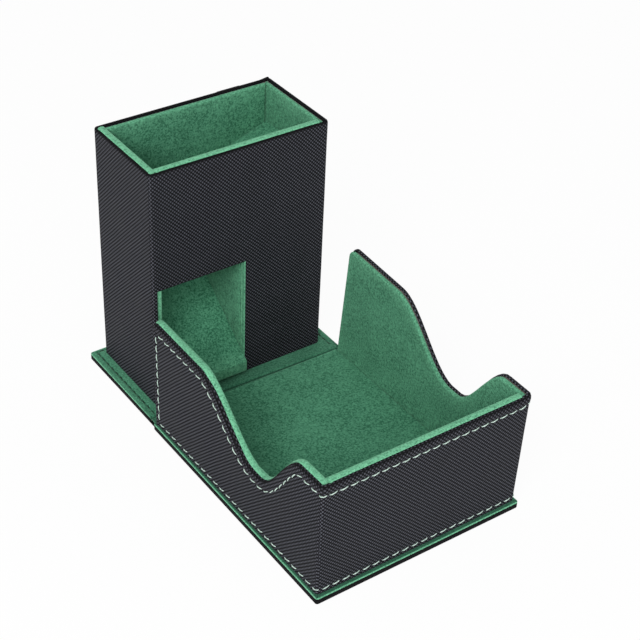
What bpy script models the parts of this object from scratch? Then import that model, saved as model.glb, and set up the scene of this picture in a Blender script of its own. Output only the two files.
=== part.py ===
# Folding dice tower: a leatherette box lined with suede, whose tray folds up over its chute.
# X runs along the tower's width, Y towards the back and Z up, all lengths in metres. The origin
# lies on the table below the middle of the tower's front face.
import math

import bmesh
import bpy
from mathutils import Vector

# Overall sizes
TOWER_WIDTH = 0.0950
TOWER_DEPTH = 0.0505
TOWER_HEIGHT = 0.1300

# Thicknesses of the materials, and the line of glue between two layers
COVER_THICKNESS = 0.0005
WALL_BOARD_THICKNESS = 0.0010
WALL_LINING_THICKNESS = 0.0021
BASE_BOARD_THICKNESS = 0.0020
BASE_LINING_THICKNESS = 0.0007
FLOOR_BOARD_THICKNESS = 0.0012
FLOOR_LINING_THICKNESS = 0.0007
INNER_BOARD_THICKNESS = 0.0020
INNER_LINING_THICKNESS = 0.0012
GLUE_GAP = 0.0002

# Overrun by which a cutter passes the faces that it cuts
OVERRUN = 0.0020

# Corners
COVER_CORNER_RADIUS = 0.0016
PANEL_CORNER_RADIUS = 0.0010
CORNER_STEPS = 4

# Base panels
REAR_BACK_MARGIN = 0.0030
REAR_PANEL_OVERHANG = 0.0003
FRONT_PANEL_SIDE_MARGIN = 0.0012
FRONT_PANEL_FRONT_MARGIN = 0.0018

# Fold: the height of the line about which the strip bends, and the room that the fold leaves
HINGE_HEIGHT = 0.0013
PANEL_FOLD_CLEARANCE = 0.0005
RAMP_FOLD_CLEARANCE = 0.0008
SIDE_FOLD_CLEARANCE = 0.0025
LID_FOLD_CLEARANCE = 0.0023
WALL_END_INSET = 0.0002
WALL_OVERREACH = 0.0023
STRIP_GAP = 0.0003

# Swept rim of the tray's side walls, from the front wall's outer face to the rear
RIM_FALL = 0.0013
FRONT_SHOULDER = 0.0160
FRONT_SWEEP = 0.0280
DIP_FLOOR = 0.0045
REAR_SWEEP = 0.0430
DIP_DEPTH = 0.0285
SWEEP_STEPS = 12
REAR_CORNER_RADIUS = 0.0035
REAR_EDGE_LEAN = 0.0028
SIDE_WALL_TILT = 0.0005
SIDE_WALL_SPLAY = 0.0019
FRONT_WALL_TILT = 0.0012
TILT_CELL = 0.0180

# Exit opening, ramp, partition and baffle inside the tower
EXIT_WIDTH = 0.0478
EXIT_TOP = 0.0688
RAMP_REACH = 0.0030
RAMP_TIP_HEIGHT = 0.0121
RAMP_SLOPE = math.radians(38.5)
RAMP_TIP_LINING = 0.0010
RAMP_BOARD_THICKNESS = 0.0029
MOUTH_DEPTH = 0.0200
BAFFLE_SLOPE = math.radians(19.5)
BAFFLE_OVERHANG = 0.0017

# Closing magnets in the tray's front wall, and the steel discs that they meet in the tower
DISC_DIAMETER = 0.0080
DISC_THICKNESS = 0.0008
DISC_HOLE_CLEARANCE = 0.0003
DISC_SPACING = 0.0500
MAGNET_DEPTH = 0.0072
KEEPER_DEPTH = 0.0062
DISC_SEGMENTS = 24

# Thread
STITCH_PITCH = 0.0052
STITCH_LENGTH = 0.0031
STITCH_WIDTH = 0.0006
STITCH_THICKNESS = 0.0004
LINK_WIDTH = 0.0002
LINK_THICKNESS = 0.0001
MARGIN_STITCH_THICKNESS = 0.0003
RIM_STITCH_INSET = 0.0048
FOOT_STITCH_INSET = 0.0026
END_STITCH_INSET = 0.0032
MARGIN_STITCH_INSET = 0.0032
BACK_STITCH_INSET = 0.0015

# Softened edges of the lined pieces
EDGE_SOFTNESS = 0.0004

# Colour, roughness and metallic value of each material
LEATHERETTE = ((0.0160, 0.0160, 0.0190), 0.62, 0.0)
SUEDE = ((0.0330, 0.1950, 0.1000), 0.95, 0.0)
GREYBOARD = ((0.3300, 0.3000, 0.2600), 0.90, 0.0)
PALE_THREAD = ((0.5000, 0.6800, 0.5600), 0.70, 0.0)
GREEN_THREAD = ((0.0120, 0.0900, 0.0450), 0.75, 0.0)
STEEL = ((0.5500, 0.5500, 0.5700), 0.35, 1.0)

# Layers of the base panels, from the table up
BASE_COVER_TOP = COVER_THICKNESS + GLUE_GAP + BASE_BOARD_THICKNESS
BASE_TOP = BASE_COVER_TOP + GLUE_GAP + BASE_LINING_THICKNESS
FOOT = BASE_TOP + GLUE_GAP
FLOOR_BOARD_TOP = FOOT + FLOOR_BOARD_THICKNESS
FLOOR_TOP = FLOOR_BOARD_TOP + GLUE_GAP + FLOOR_LINING_THICKNESS

# Layers of a wall, from its outer face inwards
BOARD_INSET = COVER_THICKNESS + GLUE_GAP
LIP_WIDTH = BOARD_INSET + WALL_BOARD_THICKNESS
LINING_INSET = LIP_WIDTH + GLUE_GAP
WALL_THICKNESS = LINING_INSET + WALL_LINING_THICKNESS

# Places that the fold sets: the folded tray clears the ramp's tip, the tower's sides and its mouth
HINGE_DISTANCE = RAMP_REACH + RAMP_FOLD_CLEARANCE + FLOOR_TOP - HINGE_HEIGHT
HINGE_HALF_GAP = BASE_TOP - HINGE_HEIGHT + PANEL_FOLD_CLEARANCE
REAR_PANEL_FRONT = HINGE_HALF_GAP - HINGE_DISTANCE
FRONT_PANEL_REAR = -HINGE_DISTANCE - HINGE_HALF_GAP
TRAY_REAR = FRONT_PANEL_REAR - WALL_END_INSET
TRAY_INNER_FRONT = -HINGE_DISTANCE - (TOWER_HEIGHT - HINGE_HEIGHT + LID_FOLD_CLEARANCE)
TRAY_FRONT = TRAY_INNER_FRONT - WALL_THICKNESS
TRAY_HALF = TOWER_WIDTH / 2 + SIDE_FOLD_CLEARANCE + WALL_THICKNESS
TRAY_HEIGHT = TOWER_DEPTH + REAR_BACK_MARGIN + HINGE_DISTANCE + HINGE_HEIGHT + WALL_OVERREACH
RIM_LEVEL = TRAY_HEIGHT - RIM_FALL
REAR_PANEL_BACK = TOWER_DEPTH + REAR_BACK_MARGIN
REAR_PANEL_HALF = TRAY_HALF + REAR_PANEL_OVERHANG
FRONT_PANEL_HALF = TRAY_HALF + FRONT_PANEL_SIDE_MARGIN
FRONT_PANEL_FRONT = TRAY_FRONT - FRONT_PANEL_FRONT_MARGIN

# Places inside the tower
TOWER_HALF = TOWER_WIDTH / 2
CHUTE_HALF = TOWER_HALF - WALL_THICKNESS
CHUTE_FRONT = WALL_THICKNESS
CHUTE_BACK = TOWER_DEPTH - WALL_THICKNESS
EXIT_LEFT = LINING_INSET - TOWER_HALF
EXIT_RIGHT = EXIT_LEFT + EXIT_WIDTH
PARTITION_BOARD_LEFT = EXIT_RIGHT + INNER_LINING_THICKNESS + GLUE_GAP
PARTITION_RIGHT = PARTITION_BOARD_LEFT + INNER_BOARD_THICKNESS
BAFFLE_LEFT = EXIT_RIGHT - BAFFLE_OVERHANG

for leftover in list(bpy.data.objects):
    bpy.data.objects.remove(leftover)


def place(axis, along, first, second):
    """A point with `along` on the axis, and an outline's two coordinates on the other axes."""
    if axis == "x":
        return (along, first, second)
    if axis == "y":
        return (first, along, second)
    return (first, second, along)


def prism(outline, axis, start, end):
    """A closed outline drawn out along an axis from start to end."""
    shape = bmesh.new()
    corners = [shape.verts.new(place(axis, start, *point)) for point in outline]
    face = shape.faces.new(corners)
    drawn = bmesh.ops.extrude_face_region(shape, geom=[face])
    far_corners = [item for item in drawn["geom"] if isinstance(item, bmesh.types.BMVert)]
    bmesh.ops.translate(shape, verts=far_corners, vec=place(axis, end - start, 0, 0))
    bmesh.ops.recalc_face_normals(shape, faces=shape.faces)
    return shape


def rectangle(first_low, first_high, second_low, second_high):
    return [
        (first_low, second_low),
        (first_high, second_low),
        (first_high, second_high),
        (first_low, second_high),
    ]


def arc(centre_first, centre_second, radius, start_degrees, end_degrees):
    """Points on an arc, both ends included."""
    points = []
    for step in range(CORNER_STEPS + 1):
        turn = start_degrees + (end_degrees - start_degrees) * step / CORNER_STEPS
        angle = math.radians(turn)
        points.append((centre_first + radius * math.cos(angle), centre_second + radius * math.sin(angle)))
    return points


def rounded_rectangle(first_low, first_high, second_low, second_high, radius):
    return (
        arc(first_low + radius, second_low + radius, radius, 180, 270)
        + arc(first_high - radius, second_low + radius, radius, 270, 360)
        + arc(first_high - radius, second_high - radius, radius, 0, 90)
        + arc(first_low + radius, second_high - radius, radius, 90, 180)
    )


def divide(shape, axis, cell):
    """Cuts the faces across an axis into even cells, so that they can follow a gentle curve."""
    places = [corner.co["xyz".index(axis)] for corner in shape.verts]
    count = math.ceil((max(places) - min(places)) / cell)
    for step in range(1, count):
        bmesh.ops.bisect_plane(
            shape,
            geom=shape.verts[:] + shape.edges[:] + shape.faces[:],
            plane_co=place(axis, min(places) + (max(places) - min(places)) * step / count, 0, 0),
            plane_no=place(axis, 1, 0, 0),
        )


def tilt(shape):
    """Leans the tray's walls outwards: more at the rim than at the foot, and most at the rear."""
    divide(shape, "y", TILT_CELL)
    divide(shape, "z", TILT_CELL)
    for corner in shape.verts:
        height_share = (corner.co.z - BASE_TOP) / (TRAY_HEIGHT - BASE_TOP)
        length_share = (TRAY_REAR - corner.co.y) / (TRAY_REAR - TRAY_FRONT)
        side_tilt = SIDE_WALL_TILT + SIDE_WALL_SPLAY * (1 - length_share)
        corner.co.x *= 1 + side_tilt / TRAY_HALF * height_share
        corner.co.y -= FRONT_WALL_TILT * height_share * length_share
    bmesh.ops.triangulate(shape, faces=shape.faces)


def principled(name, finish):
    colour, roughness, metallic = finish
    material = bpy.data.materials.new(name)
    material.use_nodes = True
    shader = material.node_tree.nodes["Principled BSDF"]
    shader.inputs["Base Color"].default_value = (*colour, 1)
    shader.inputs["Roughness"].default_value = roughness
    shader.inputs["Metallic"].default_value = metallic
    return material


def solid(name, shape, finish=None, parent=None):
    """An object from a shape, with its origin at the middle of the shape."""
    points = [corner.co for corner in shape.verts]
    low = Vector([min(point[axis] for point in points) for axis in range(3)])
    high = Vector([max(point[axis] for point in points) for axis in range(3)])
    middle = (low + high) / 2
    bmesh.ops.translate(shape, verts=shape.verts, vec=-middle)
    mesh = bpy.data.meshes.new(name)
    shape.to_mesh(mesh)
    shape.free()
    piece = bpy.data.objects.new(name, mesh)
    bpy.context.scene.collection.objects.link(piece)
    piece.location = middle
    if parent:
        piece.parent = parent
        piece.location = middle - parent.location
    if finish:
        mesh.materials.append(principled(name, finish))
    return piece


def combine(piece, tool, operation):
    """Cuts a piece with a tool, or keeps what the two share. The tool stays as a wire guide."""
    tool.hide_render = True
    tool.display_type = "WIRE"
    modifier = piece.modifiers.new(tool.name, "BOOLEAN")
    modifier.operation = operation
    modifier.object = tool


def soften(piece):
    bevel = piece.modifiers.new("softened edges", "BEVEL")
    bevel.width = EDGE_SOFTNESS
    bevel.segments = 1
    bevel.limit_method = "ANGLE"
    bevel.angle_limit = math.radians(50)


def shade_round(piece):
    piece.data.shade_smooth()
    piece.data.set_sharp_from_angle(angle=math.radians(35))


# Line about which the tray folds, between the two base panels
tray_fold = bpy.data.objects.new("tray_fold", None)
tray_fold.location = (0, -HINGE_DISTANCE, HINGE_HEIGHT)
bpy.context.scene.collection.objects.link(tray_fold)


def base_panel(prefix, half, front, rear, hinge_in_front, parent=None):
    """A board in a cover that is turned up round three edges, with a suede sheet on top."""
    outline = rounded_rectangle(-half, half, front, rear, PANEL_CORNER_RADIUS)
    cover = solid(prefix + "_cover", prism(outline, "z", 0, BASE_COVER_TOP), LEATHERETTE, parent)
    pocket_front = front - OVERRUN if hinge_in_front else front + COVER_THICKNESS
    pocket_rear = rear - COVER_THICKNESS if hinge_in_front else rear + OVERRUN
    pocket_half = half - COVER_THICKNESS
    pocket = rectangle(-pocket_half, pocket_half, pocket_front, pocket_rear)
    pocket = prism(pocket, "z", COVER_THICKNESS, BASE_COVER_TOP + OVERRUN)
    combine(cover, solid(prefix + "_pocket", pocket, parent=parent), "DIFFERENCE")
    shade_round(cover)
    board_front = front if hinge_in_front else front + BOARD_INSET
    board_rear = rear - BOARD_INSET if hinge_in_front else rear
    board_half = half - BOARD_INSET
    board = rectangle(-board_half, board_half, board_front, board_rear)
    board = prism(board, "z", BOARD_INSET, BOARD_INSET + BASE_BOARD_THICKNESS)
    solid(prefix + "_board", board, GREYBOARD, parent)
    lining = prism(outline, "z", BASE_COVER_TOP + GLUE_GAP, BASE_TOP)
    shade_round(solid(prefix + "_lining", lining, SUEDE, parent))


base_panel("rear_base", REAR_PANEL_HALF, REAR_PANEL_FRONT, REAR_PANEL_BACK, True)
base_panel("front_base", FRONT_PANEL_HALF, FRONT_PANEL_FRONT, FRONT_PANEL_REAR, False, tray_fold)


def hinge_strip(name, low, high, finish):
    """The soft stretch of cover or lining that bends between the two boards."""
    strip = rectangle(
        -REAR_PANEL_HALF, REAR_PANEL_HALF, FRONT_PANEL_REAR + STRIP_GAP, REAR_PANEL_FRONT - STRIP_GAP
    )
    solid(name, prism(strip, "z", low, high), finish)


hinge_strip("hinge_cover_strip", 0, COVER_THICKNESS, LEATHERETTE)
hinge_strip("hinge_lining_strip", BASE_COVER_TOP + GLUE_GAP, BASE_TOP, SUEDE)


def disc(middle_x, middle_y, middle_z, radius, thickness):
    """A round disc or plug that faces along Y."""
    points = []
    for segment in range(DISC_SEGMENTS):
        angle = math.tau * segment / DISC_SEGMENTS
        points.append((middle_x + radius * math.cos(angle), middle_z + radius * math.sin(angle)))
    return prism(points, "y", middle_y - thickness / 2, middle_y + thickness / 2)


def closing_discs(name, board, middle_y, height, leaning=False, parent=None):
    """Two steel discs, each in a round hole punched through their board."""
    for side_name, side in (("left", -1), ("right", 1)):
        middle_x = side * DISC_SPACING / 2
        hole_radius = DISC_DIAMETER / 2 + DISC_HOLE_CLEARANCE
        hole = disc(middle_x, middle_y, height, hole_radius, WALL_BOARD_THICKNESS + OVERRUN)
        plate = disc(middle_x, middle_y, height, DISC_DIAMETER / 2, DISC_THICKNESS)
        if leaning:
            tilt(hole)
            tilt(plate)
        combine(board, solid(f"{name}_hole_{side_name}", hole, parent=parent), "DIFFERENCE")
        shade_round(solid(f"{name}_{side_name}", plate, STEEL, parent))


# Tower boards: the side boards run the full depth, the front and back boards stand between them
board_top = TOWER_HEIGHT - BOARD_INSET
side_board_outer = TOWER_HALF - BOARD_INSET
side_board_inner = TOWER_HALF - LIP_WIDTH
cross_board_half = TOWER_HALF - LINING_INSET

side_board = rectangle(BOARD_INSET, TOWER_DEPTH - BOARD_INSET, FOOT, board_top)
solid("tower_left_board", prism(side_board, "x", -side_board_outer, -side_board_inner), GREYBOARD)
solid("tower_right_board", prism(side_board, "x", side_board_inner, side_board_outer), GREYBOARD)

back_board = rectangle(-cross_board_half, cross_board_half, FOOT, board_top)
back_board_middle = TOWER_DEPTH - BOARD_INSET - WALL_BOARD_THICKNESS / 2
tower_back_board = solid(
    "tower_back_board",
    prism(back_board, "y", TOWER_DEPTH - LIP_WIDTH, TOWER_DEPTH - BOARD_INSET),
    GREYBOARD,
)
closing_discs("keeper_disc", tower_back_board, back_board_middle, TOWER_HEIGHT - KEEPER_DEPTH)


def wall_beside_exit(half, top):
    """Outline of a front layer: full width above the exit opening, and only its right below."""
    return [
        (EXIT_RIGHT, FOOT),
        (half, FOOT),
        (half, top),
        (-half, top),
        (-half, EXIT_TOP),
        (EXIT_RIGHT, EXIT_TOP),
    ]


front_board = wall_beside_exit(cross_board_half, board_top)
solid("tower_front_board", prism(front_board, "y", BOARD_INSET, LIP_WIDTH), GREYBOARD)

# Tower cover: one sheet of leatherette round the boards, turned over their top edge
cover_outline = rounded_rectangle(-TOWER_HALF, TOWER_HALF, 0, TOWER_DEPTH, COVER_CORNER_RADIUS)
tower_cover = solid("tower_cover", prism(cover_outline, "z", FOOT, TOWER_HEIGHT), LEATHERETTE)
pocket_half = TOWER_HALF - COVER_THICKNESS
mouth_half = TOWER_HALF - LIP_WIDTH
cover_pocket = rectangle(-pocket_half, pocket_half, COVER_THICKNESS, TOWER_DEPTH - COVER_THICKNESS)
cover_mouth = rectangle(-mouth_half, mouth_half, LIP_WIDTH, TOWER_DEPTH - LIP_WIDTH)
cover_exit = rectangle(EXIT_LEFT, EXIT_RIGHT, FOOT - OVERRUN, EXIT_TOP)
combine(
    tower_cover,
    solid("tower_cover_pocket", prism(cover_pocket, "z", FOOT - OVERRUN, TOWER_HEIGHT - COVER_THICKNESS)),
    "DIFFERENCE",
)
combine(
    tower_cover,
    solid("tower_cover_mouth", prism(cover_mouth, "z", board_top - OVERRUN, TOWER_HEIGHT + OVERRUN)),
    "DIFFERENCE",
)
combine(
    tower_cover,
    solid("tower_cover_exit", prism(cover_exit, "y", -OVERRUN, COVER_THICKNESS + OVERRUN)),
    "DIFFERENCE",
)
shade_round(tower_cover)

# Tower linings: the left one reaches forward beside the exit opening and hides the board's edge
lining_back = TOWER_DEPTH - LINING_INSET
left_lining = [
    (BOARD_INSET, FOOT),
    (lining_back, FOOT),
    (lining_back, TOWER_HEIGHT),
    (LINING_INSET, TOWER_HEIGHT),
    (LINING_INSET, EXIT_TOP - GLUE_GAP),
    (BOARD_INSET, EXIT_TOP - GLUE_GAP),
]
right_lining = rectangle(LINING_INSET, lining_back, FOOT, TOWER_HEIGHT)
lining_outer = TOWER_HALF - LINING_INSET
soften(solid("tower_left_lining", prism(left_lining, "x", -lining_outer, -CHUTE_HALF), SUEDE))
soften(solid("tower_right_lining", prism(right_lining, "x", CHUTE_HALF, lining_outer), SUEDE))

cross_lining_half = CHUTE_HALF - GLUE_GAP
back_lining = rectangle(-cross_lining_half, cross_lining_half, FOOT, TOWER_HEIGHT)
soften(solid("tower_back_lining", prism(back_lining, "y", CHUTE_BACK, lining_back), SUEDE))
front_lining = wall_beside_exit(cross_lining_half, TOWER_HEIGHT)
soften(solid("tower_front_lining", prism(front_lining, "y", LINING_INSET, CHUTE_FRONT), SUEDE))

# Upper baffle: slopes down from the right wall to the partition, its lining turned over the end
chute_near = CHUTE_FRONT + GLUE_GAP
chute_far = CHUTE_BACK - GLUE_GAP
baffle_right = CHUTE_HALF - GLUE_GAP
baffle_fall = math.tan(BAFFLE_SLOPE)
baffle_lining_drop = INNER_LINING_THICKNESS / math.cos(BAFFLE_SLOPE)
baffle_board_drop = (INNER_LINING_THICKNESS + GLUE_GAP) / math.cos(BAFFLE_SLOPE)
baffle_full_drop = baffle_board_drop + INNER_BOARD_THICKNESS / math.cos(BAFFLE_SLOPE)


def baffle_height(x, drop):
    """Height of a layer of the baffle at x, below its top surface."""
    return TOWER_HEIGHT - MOUTH_DEPTH - (baffle_right - x) * baffle_fall - drop


def baffle_point(x, drop):
    return (x, baffle_height(x, drop))


turned_end = BAFFLE_LEFT + INNER_LINING_THICKNESS
board_end = turned_end + GLUE_GAP
baffle_lining = [
    baffle_point(BAFFLE_LEFT, 0),
    baffle_point(BAFFLE_LEFT, baffle_full_drop),
    baffle_point(turned_end, baffle_full_drop),
    baffle_point(turned_end, baffle_lining_drop),
    baffle_point(baffle_right, baffle_lining_drop),
    baffle_point(baffle_right, 0),
]
baffle_board = [
    baffle_point(board_end, baffle_board_drop),
    baffle_point(board_end, baffle_full_drop),
    baffle_point(baffle_right, baffle_full_drop),
    baffle_point(baffle_right, baffle_board_drop),
]
solid("baffle_lining", prism(baffle_lining, "y", chute_near, chute_far), SUEDE)
solid("baffle_board", prism(baffle_board, "y", chute_near, chute_far), GREYBOARD)

# Partition: carries the baffle's low end and closes the exit bay on the right
partition_drop = baffle_full_drop + GLUE_GAP
partition_lining_right = EXIT_RIGHT + INNER_LINING_THICKNESS
partition_lining = [
    (EXIT_RIGHT, FOOT),
    (partition_lining_right, FOOT),
    baffle_point(partition_lining_right, partition_drop),
    baffle_point(EXIT_RIGHT, partition_drop),
]
partition_board = [
    (PARTITION_BOARD_LEFT, FOOT),
    (PARTITION_RIGHT, FOOT),
    baffle_point(PARTITION_RIGHT, partition_drop),
    baffle_point(PARTITION_BOARD_LEFT, partition_drop),
]
solid("partition_lining", prism(partition_lining, "y", chute_near, chute_far), SUEDE)
solid("partition_board", prism(partition_board, "y", chute_near, chute_far), GREYBOARD)

# Exit ramp: slopes down from the back wall and reaches out of the opening, its tip lined as well
ramp_fall = math.tan(RAMP_SLOPE)
ramp_lining_drop = INNER_LINING_THICKNESS / math.cos(RAMP_SLOPE)
ramp_board_drop = (INNER_LINING_THICKNESS + GLUE_GAP) / math.cos(RAMP_SLOPE)
ramp_full_drop = ramp_board_drop + RAMP_BOARD_THICKNESS / math.cos(RAMP_SLOPE)
ramp_tip = -RAMP_REACH
ramp_tip_inner = ramp_tip + RAMP_TIP_LINING
ramp_board_tip = ramp_tip_inner + GLUE_GAP


def ramp_point(y, drop):
    """A point of a layer of the ramp at y, below its top surface."""
    return (y, RAMP_TIP_HEIGHT + (y - ramp_tip) * ramp_fall - drop)


ramp_lining = [
    ramp_point(ramp_tip, 0),
    ramp_point(ramp_tip, ramp_full_drop),
    ramp_point(ramp_tip_inner, ramp_full_drop),
    ramp_point(ramp_tip_inner, ramp_lining_drop),
    ramp_point(chute_far, ramp_lining_drop),
    ramp_point(chute_far, 0),
]
ramp_board = [
    ramp_point(ramp_board_tip, ramp_board_drop),
    ramp_point(ramp_board_tip, ramp_full_drop),
    ramp_point(chute_far, ramp_full_drop),
    ramp_point(chute_far, ramp_board_drop),
]
ramp_left = GLUE_GAP - CHUTE_HALF
ramp_right = EXIT_RIGHT - GLUE_GAP
solid("ramp_lining", prism(ramp_lining, "x", ramp_left, ramp_right), SUEDE)
solid("ramp_board", prism(ramp_board, "x", ramp_left, ramp_right), GREYBOARD)


# Tray: all its wall layers follow one swept outline, each at its own inset from the rim
def rim(distance):
    """Height and slope of the side walls' rim at a distance behind the front wall's outer face."""
    dip_start = FRONT_SHOULDER + FRONT_SWEEP
    dip_end = dip_start + DIP_FLOOR
    if distance <= FRONT_SHOULDER or distance >= dip_end + REAR_SWEEP:
        return RIM_LEVEL, 0
    if dip_start <= distance <= dip_end:
        return RIM_LEVEL - DIP_DEPTH, 0
    if distance < dip_start:
        share = (dip_start - distance) / FRONT_SWEEP
        direction = -DIP_DEPTH / FRONT_SWEEP
    else:
        share = (distance - dip_end) / REAR_SWEEP
        direction = DIP_DEPTH / REAR_SWEEP
    rise_share = share * share * (3 - 2 * share)
    return RIM_LEVEL - DIP_DEPTH * (1 - rise_share), direction * 6 * share * (1 - share)


def rim_line(inset):
    """Points of the rim from rear to front, moved into the wall by an inset."""
    dip_start = FRONT_SHOULDER + FRONT_SWEEP
    dip_end = dip_start + DIP_FLOOR
    distances = [dip_end + REAR_SWEEP * (1 - step / SWEEP_STEPS) for step in range(SWEEP_STEPS + 1)]
    distances += [dip_start - FRONT_SWEEP * step / SWEEP_STEPS for step in range(SWEEP_STEPS + 1)]
    points = []
    for distance in distances:
        height, slope = rim(distance)
        length = math.hypot(1, slope)
        points.append((TRAY_FRONT + distance + inset * slope / length, height - inset / length))
    return points


def side_outline(inset, front, foot):
    """A side wall's layer in Y and Z: leaning rear edge, round rear corner and swept rim."""
    radius = REAR_CORNER_RADIUS - inset
    corner_y = TRAY_REAR - REAR_EDGE_LEAN - REAR_CORNER_RADIUS
    corner_z = TRAY_HEIGHT - REAR_CORNER_RADIUS
    return (
        [(front, foot), (TRAY_REAR - inset, foot)]
        + arc(corner_y, corner_z, radius, 0, 90)
        + rim_line(inset)
        + [(front, RIM_LEVEL - inset)]
    )


def wall_ring(outer_inset, inner_inset, rear, radius):
    """A wall layer seen from above: left, front and right sides in one, open at the rear."""
    outer = TRAY_HALF - outer_inset
    inner = TRAY_HALF - inner_inset
    near = TRAY_FRONT + outer_inset
    if radius:
        corners = arc(radius - outer, near + radius, radius, 180, 270)
        corners += arc(outer - radius, near + radius, radius, 270, 360)
    else:
        corners = [(-outer, near), (outer, near)]
    inner_near = TRAY_FRONT + inner_inset
    return (
        [(-outer, rear)]
        + corners
        + [(outer, rear), (inner, rear), (inner, inner_near), (-inner, inner_near), (-inner, rear)]
    )


def tray_solid(name, shape, finish=None):
    tilt(shape)
    return solid(name, shape, finish, tray_fold)


def side_profile(name, inset, front, foot):
    """A guide across the whole tray, whose outline trims a wall ring to the swept rim."""
    reach = TRAY_HALF + OVERRUN
    return tray_solid(name, prism(side_outline(inset, front, foot), "x", -reach, reach))


ring_rear = TRAY_REAR + OVERRUN
ring_top = TRAY_HEIGHT + OVERRUN
cover_ring = wall_ring(0, LIP_WIDTH, ring_rear, COVER_CORNER_RADIUS)
tray_cover = tray_solid("tray_cover", prism(cover_ring, "z", FOOT, ring_top), LEATHERETTE)
cover_profile = side_profile("tray_cover_profile", 0, TRAY_FRONT - OVERRUN, FOOT - OVERRUN)
combine(tray_cover, cover_profile, "INTERSECT")
pocket_ring = wall_ring(COVER_THICKNESS, LIP_WIDTH + OVERRUN, ring_rear, 0)
tray_cover_pocket = tray_solid("tray_cover_pocket", prism(pocket_ring, "z", FOOT - OVERRUN, ring_top))
pocket_profile = side_profile(
    "tray_cover_pocket_profile", COVER_THICKNESS, TRAY_FRONT - OVERRUN, FOOT - OVERRUN * 2
)
combine(tray_cover_pocket, pocket_profile, "INTERSECT")
combine(tray_cover, tray_cover_pocket, "DIFFERENCE")
shade_round(tray_cover)

tray_side_board = side_outline(BOARD_INSET, TRAY_FRONT + BOARD_INSET, FOOT)
tray_side_lining = side_outline(0, TRAY_FRONT + LINING_INSET, FOOT)
side_layers = (
    ("board", tray_side_board, BOARD_INSET, LIP_WIDTH, GREYBOARD),
    ("lining", tray_side_lining, LINING_INSET, WALL_THICKNESS, SUEDE),
)
for layer, outline, outer_inset, inner_inset, finish in side_layers:
    outer = TRAY_HALF - outer_inset
    inner = TRAY_HALF - inner_inset
    left_layer = tray_solid(f"tray_left_{layer}", prism(outline, "x", -outer, -inner), finish)
    right_layer = tray_solid(f"tray_right_{layer}", prism(outline, "x", inner, outer), finish)
    if finish is SUEDE:
        soften(left_layer)
        soften(right_layer)

tray_board_half = TRAY_HALF - LINING_INSET
tray_front_board = rectangle(-tray_board_half, tray_board_half, FOOT, RIM_LEVEL - BOARD_INSET)
tray_front_board = tray_solid(
    "tray_front_board",
    prism(tray_front_board, "y", TRAY_FRONT + BOARD_INSET, TRAY_FRONT + LIP_WIDTH),
    GREYBOARD,
)
closing_discs(
    "tray_magnet",
    tray_front_board,
    TRAY_FRONT + BOARD_INSET + WALL_BOARD_THICKNESS / 2,
    RIM_LEVEL - MAGNET_DEPTH,
    leaning=True,
    parent=tray_fold,
)
inside_half = TRAY_HALF - WALL_THICKNESS - GLUE_GAP
tray_front_lining = rectangle(-inside_half, inside_half, FOOT, RIM_LEVEL)
tray_front_lining = prism(tray_front_lining, "y", TRAY_FRONT + LINING_INSET, TRAY_INNER_FRONT)
soften(tray_solid("tray_front_lining", tray_front_lining, SUEDE))

floor_outline = rectangle(-inside_half, inside_half, TRAY_INNER_FRONT + GLUE_GAP, TRAY_REAR)
solid("tray_floor_board", prism(floor_outline, "z", FOOT, FLOOR_BOARD_TOP), GREYBOARD, tray_fold)
solid(
    "tray_floor_lining",
    prism(floor_outline, "z", FLOOR_BOARD_TOP + GLUE_GAP, FLOOR_TOP),
    SUEDE,
    tray_fold,
)


# Thread: each row is one unbroken thread that swells at every stitch and thins between them
def thread_row(name, path, thickness, finish, parent=None):
    """A thread along a path of points, each with the direction that faces away from the cover."""
    points = [Vector(point) for point, outward in path]
    faces = [Vector(outward) for point, outward in path]
    runs = [(second - first).length for first, second in zip(points, points[1:])]
    total = sum(runs)
    count = int((total - STITCH_LENGTH) / STITCH_PITCH) + 1
    margin = (total - (count - 1) * STITCH_PITCH) / 2

    def at(distance):
        for index, run in enumerate(runs):
            if distance <= run:
                share = distance / run
                outward = faces[index].lerp(faces[index + 1], share).normalized()
                return points[index].lerp(points[index + 1], share), outward
            distance -= run
        return points[-1], faces[-1]

    middles = [margin + number * STITCH_PITCH for number in range(count)]
    stations = [middle + half * STITCH_LENGTH / 2 for middle in middles for half in (-1, 0, 1)]
    for index in range(1, len(path) - 1):
        turn_at = sum(runs[:index])
        turns = faces[index - 1] != faces[index] or faces[index] != faces[index + 1]
        if turns and min(abs(turn_at - station) for station in stations) > STITCH_WIDTH / 4:
            stations.append(turn_at)

    thread = bmesh.new()
    rings = []
    for station in sorted(stations):
        near = at(max(station - STITCH_WIDTH, 0))[0]
        far = at(min(station + STITCH_WIDTH, total))[0]
        point, outward = at(station)
        across = (far - near).cross(outward).normalized()
        offset = min(abs(station - middle) for middle in middles)
        fullness = max(0, 1 - offset / (STITCH_LENGTH / 2))
        half_width = (LINK_WIDTH + (STITCH_WIDTH - LINK_WIDTH) * fullness) / 2
        height = LINK_THICKNESS + (thickness - LINK_THICKNESS) * fullness
        low = point + outward * GLUE_GAP
        high = low + outward * height
        side = across * half_width
        corners = (low - side, low + side, high + side, high - side)
        rings.append([thread.verts.new(corner) for corner in corners])
    for near_ring, far_ring in zip(rings, rings[1:]):
        for index in range(4):
            following = (index + 1) % 4
            thread.faces.new(
                (near_ring[index], near_ring[following], far_ring[following], far_ring[index])
            )
    thread.faces.new(rings[0])
    thread.faces.new(rings[-1])
    bmesh.ops.recalc_face_normals(thread, faces=thread.faces)
    if parent:
        tilt(thread)
    solid(name, thread, finish, parent)


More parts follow.
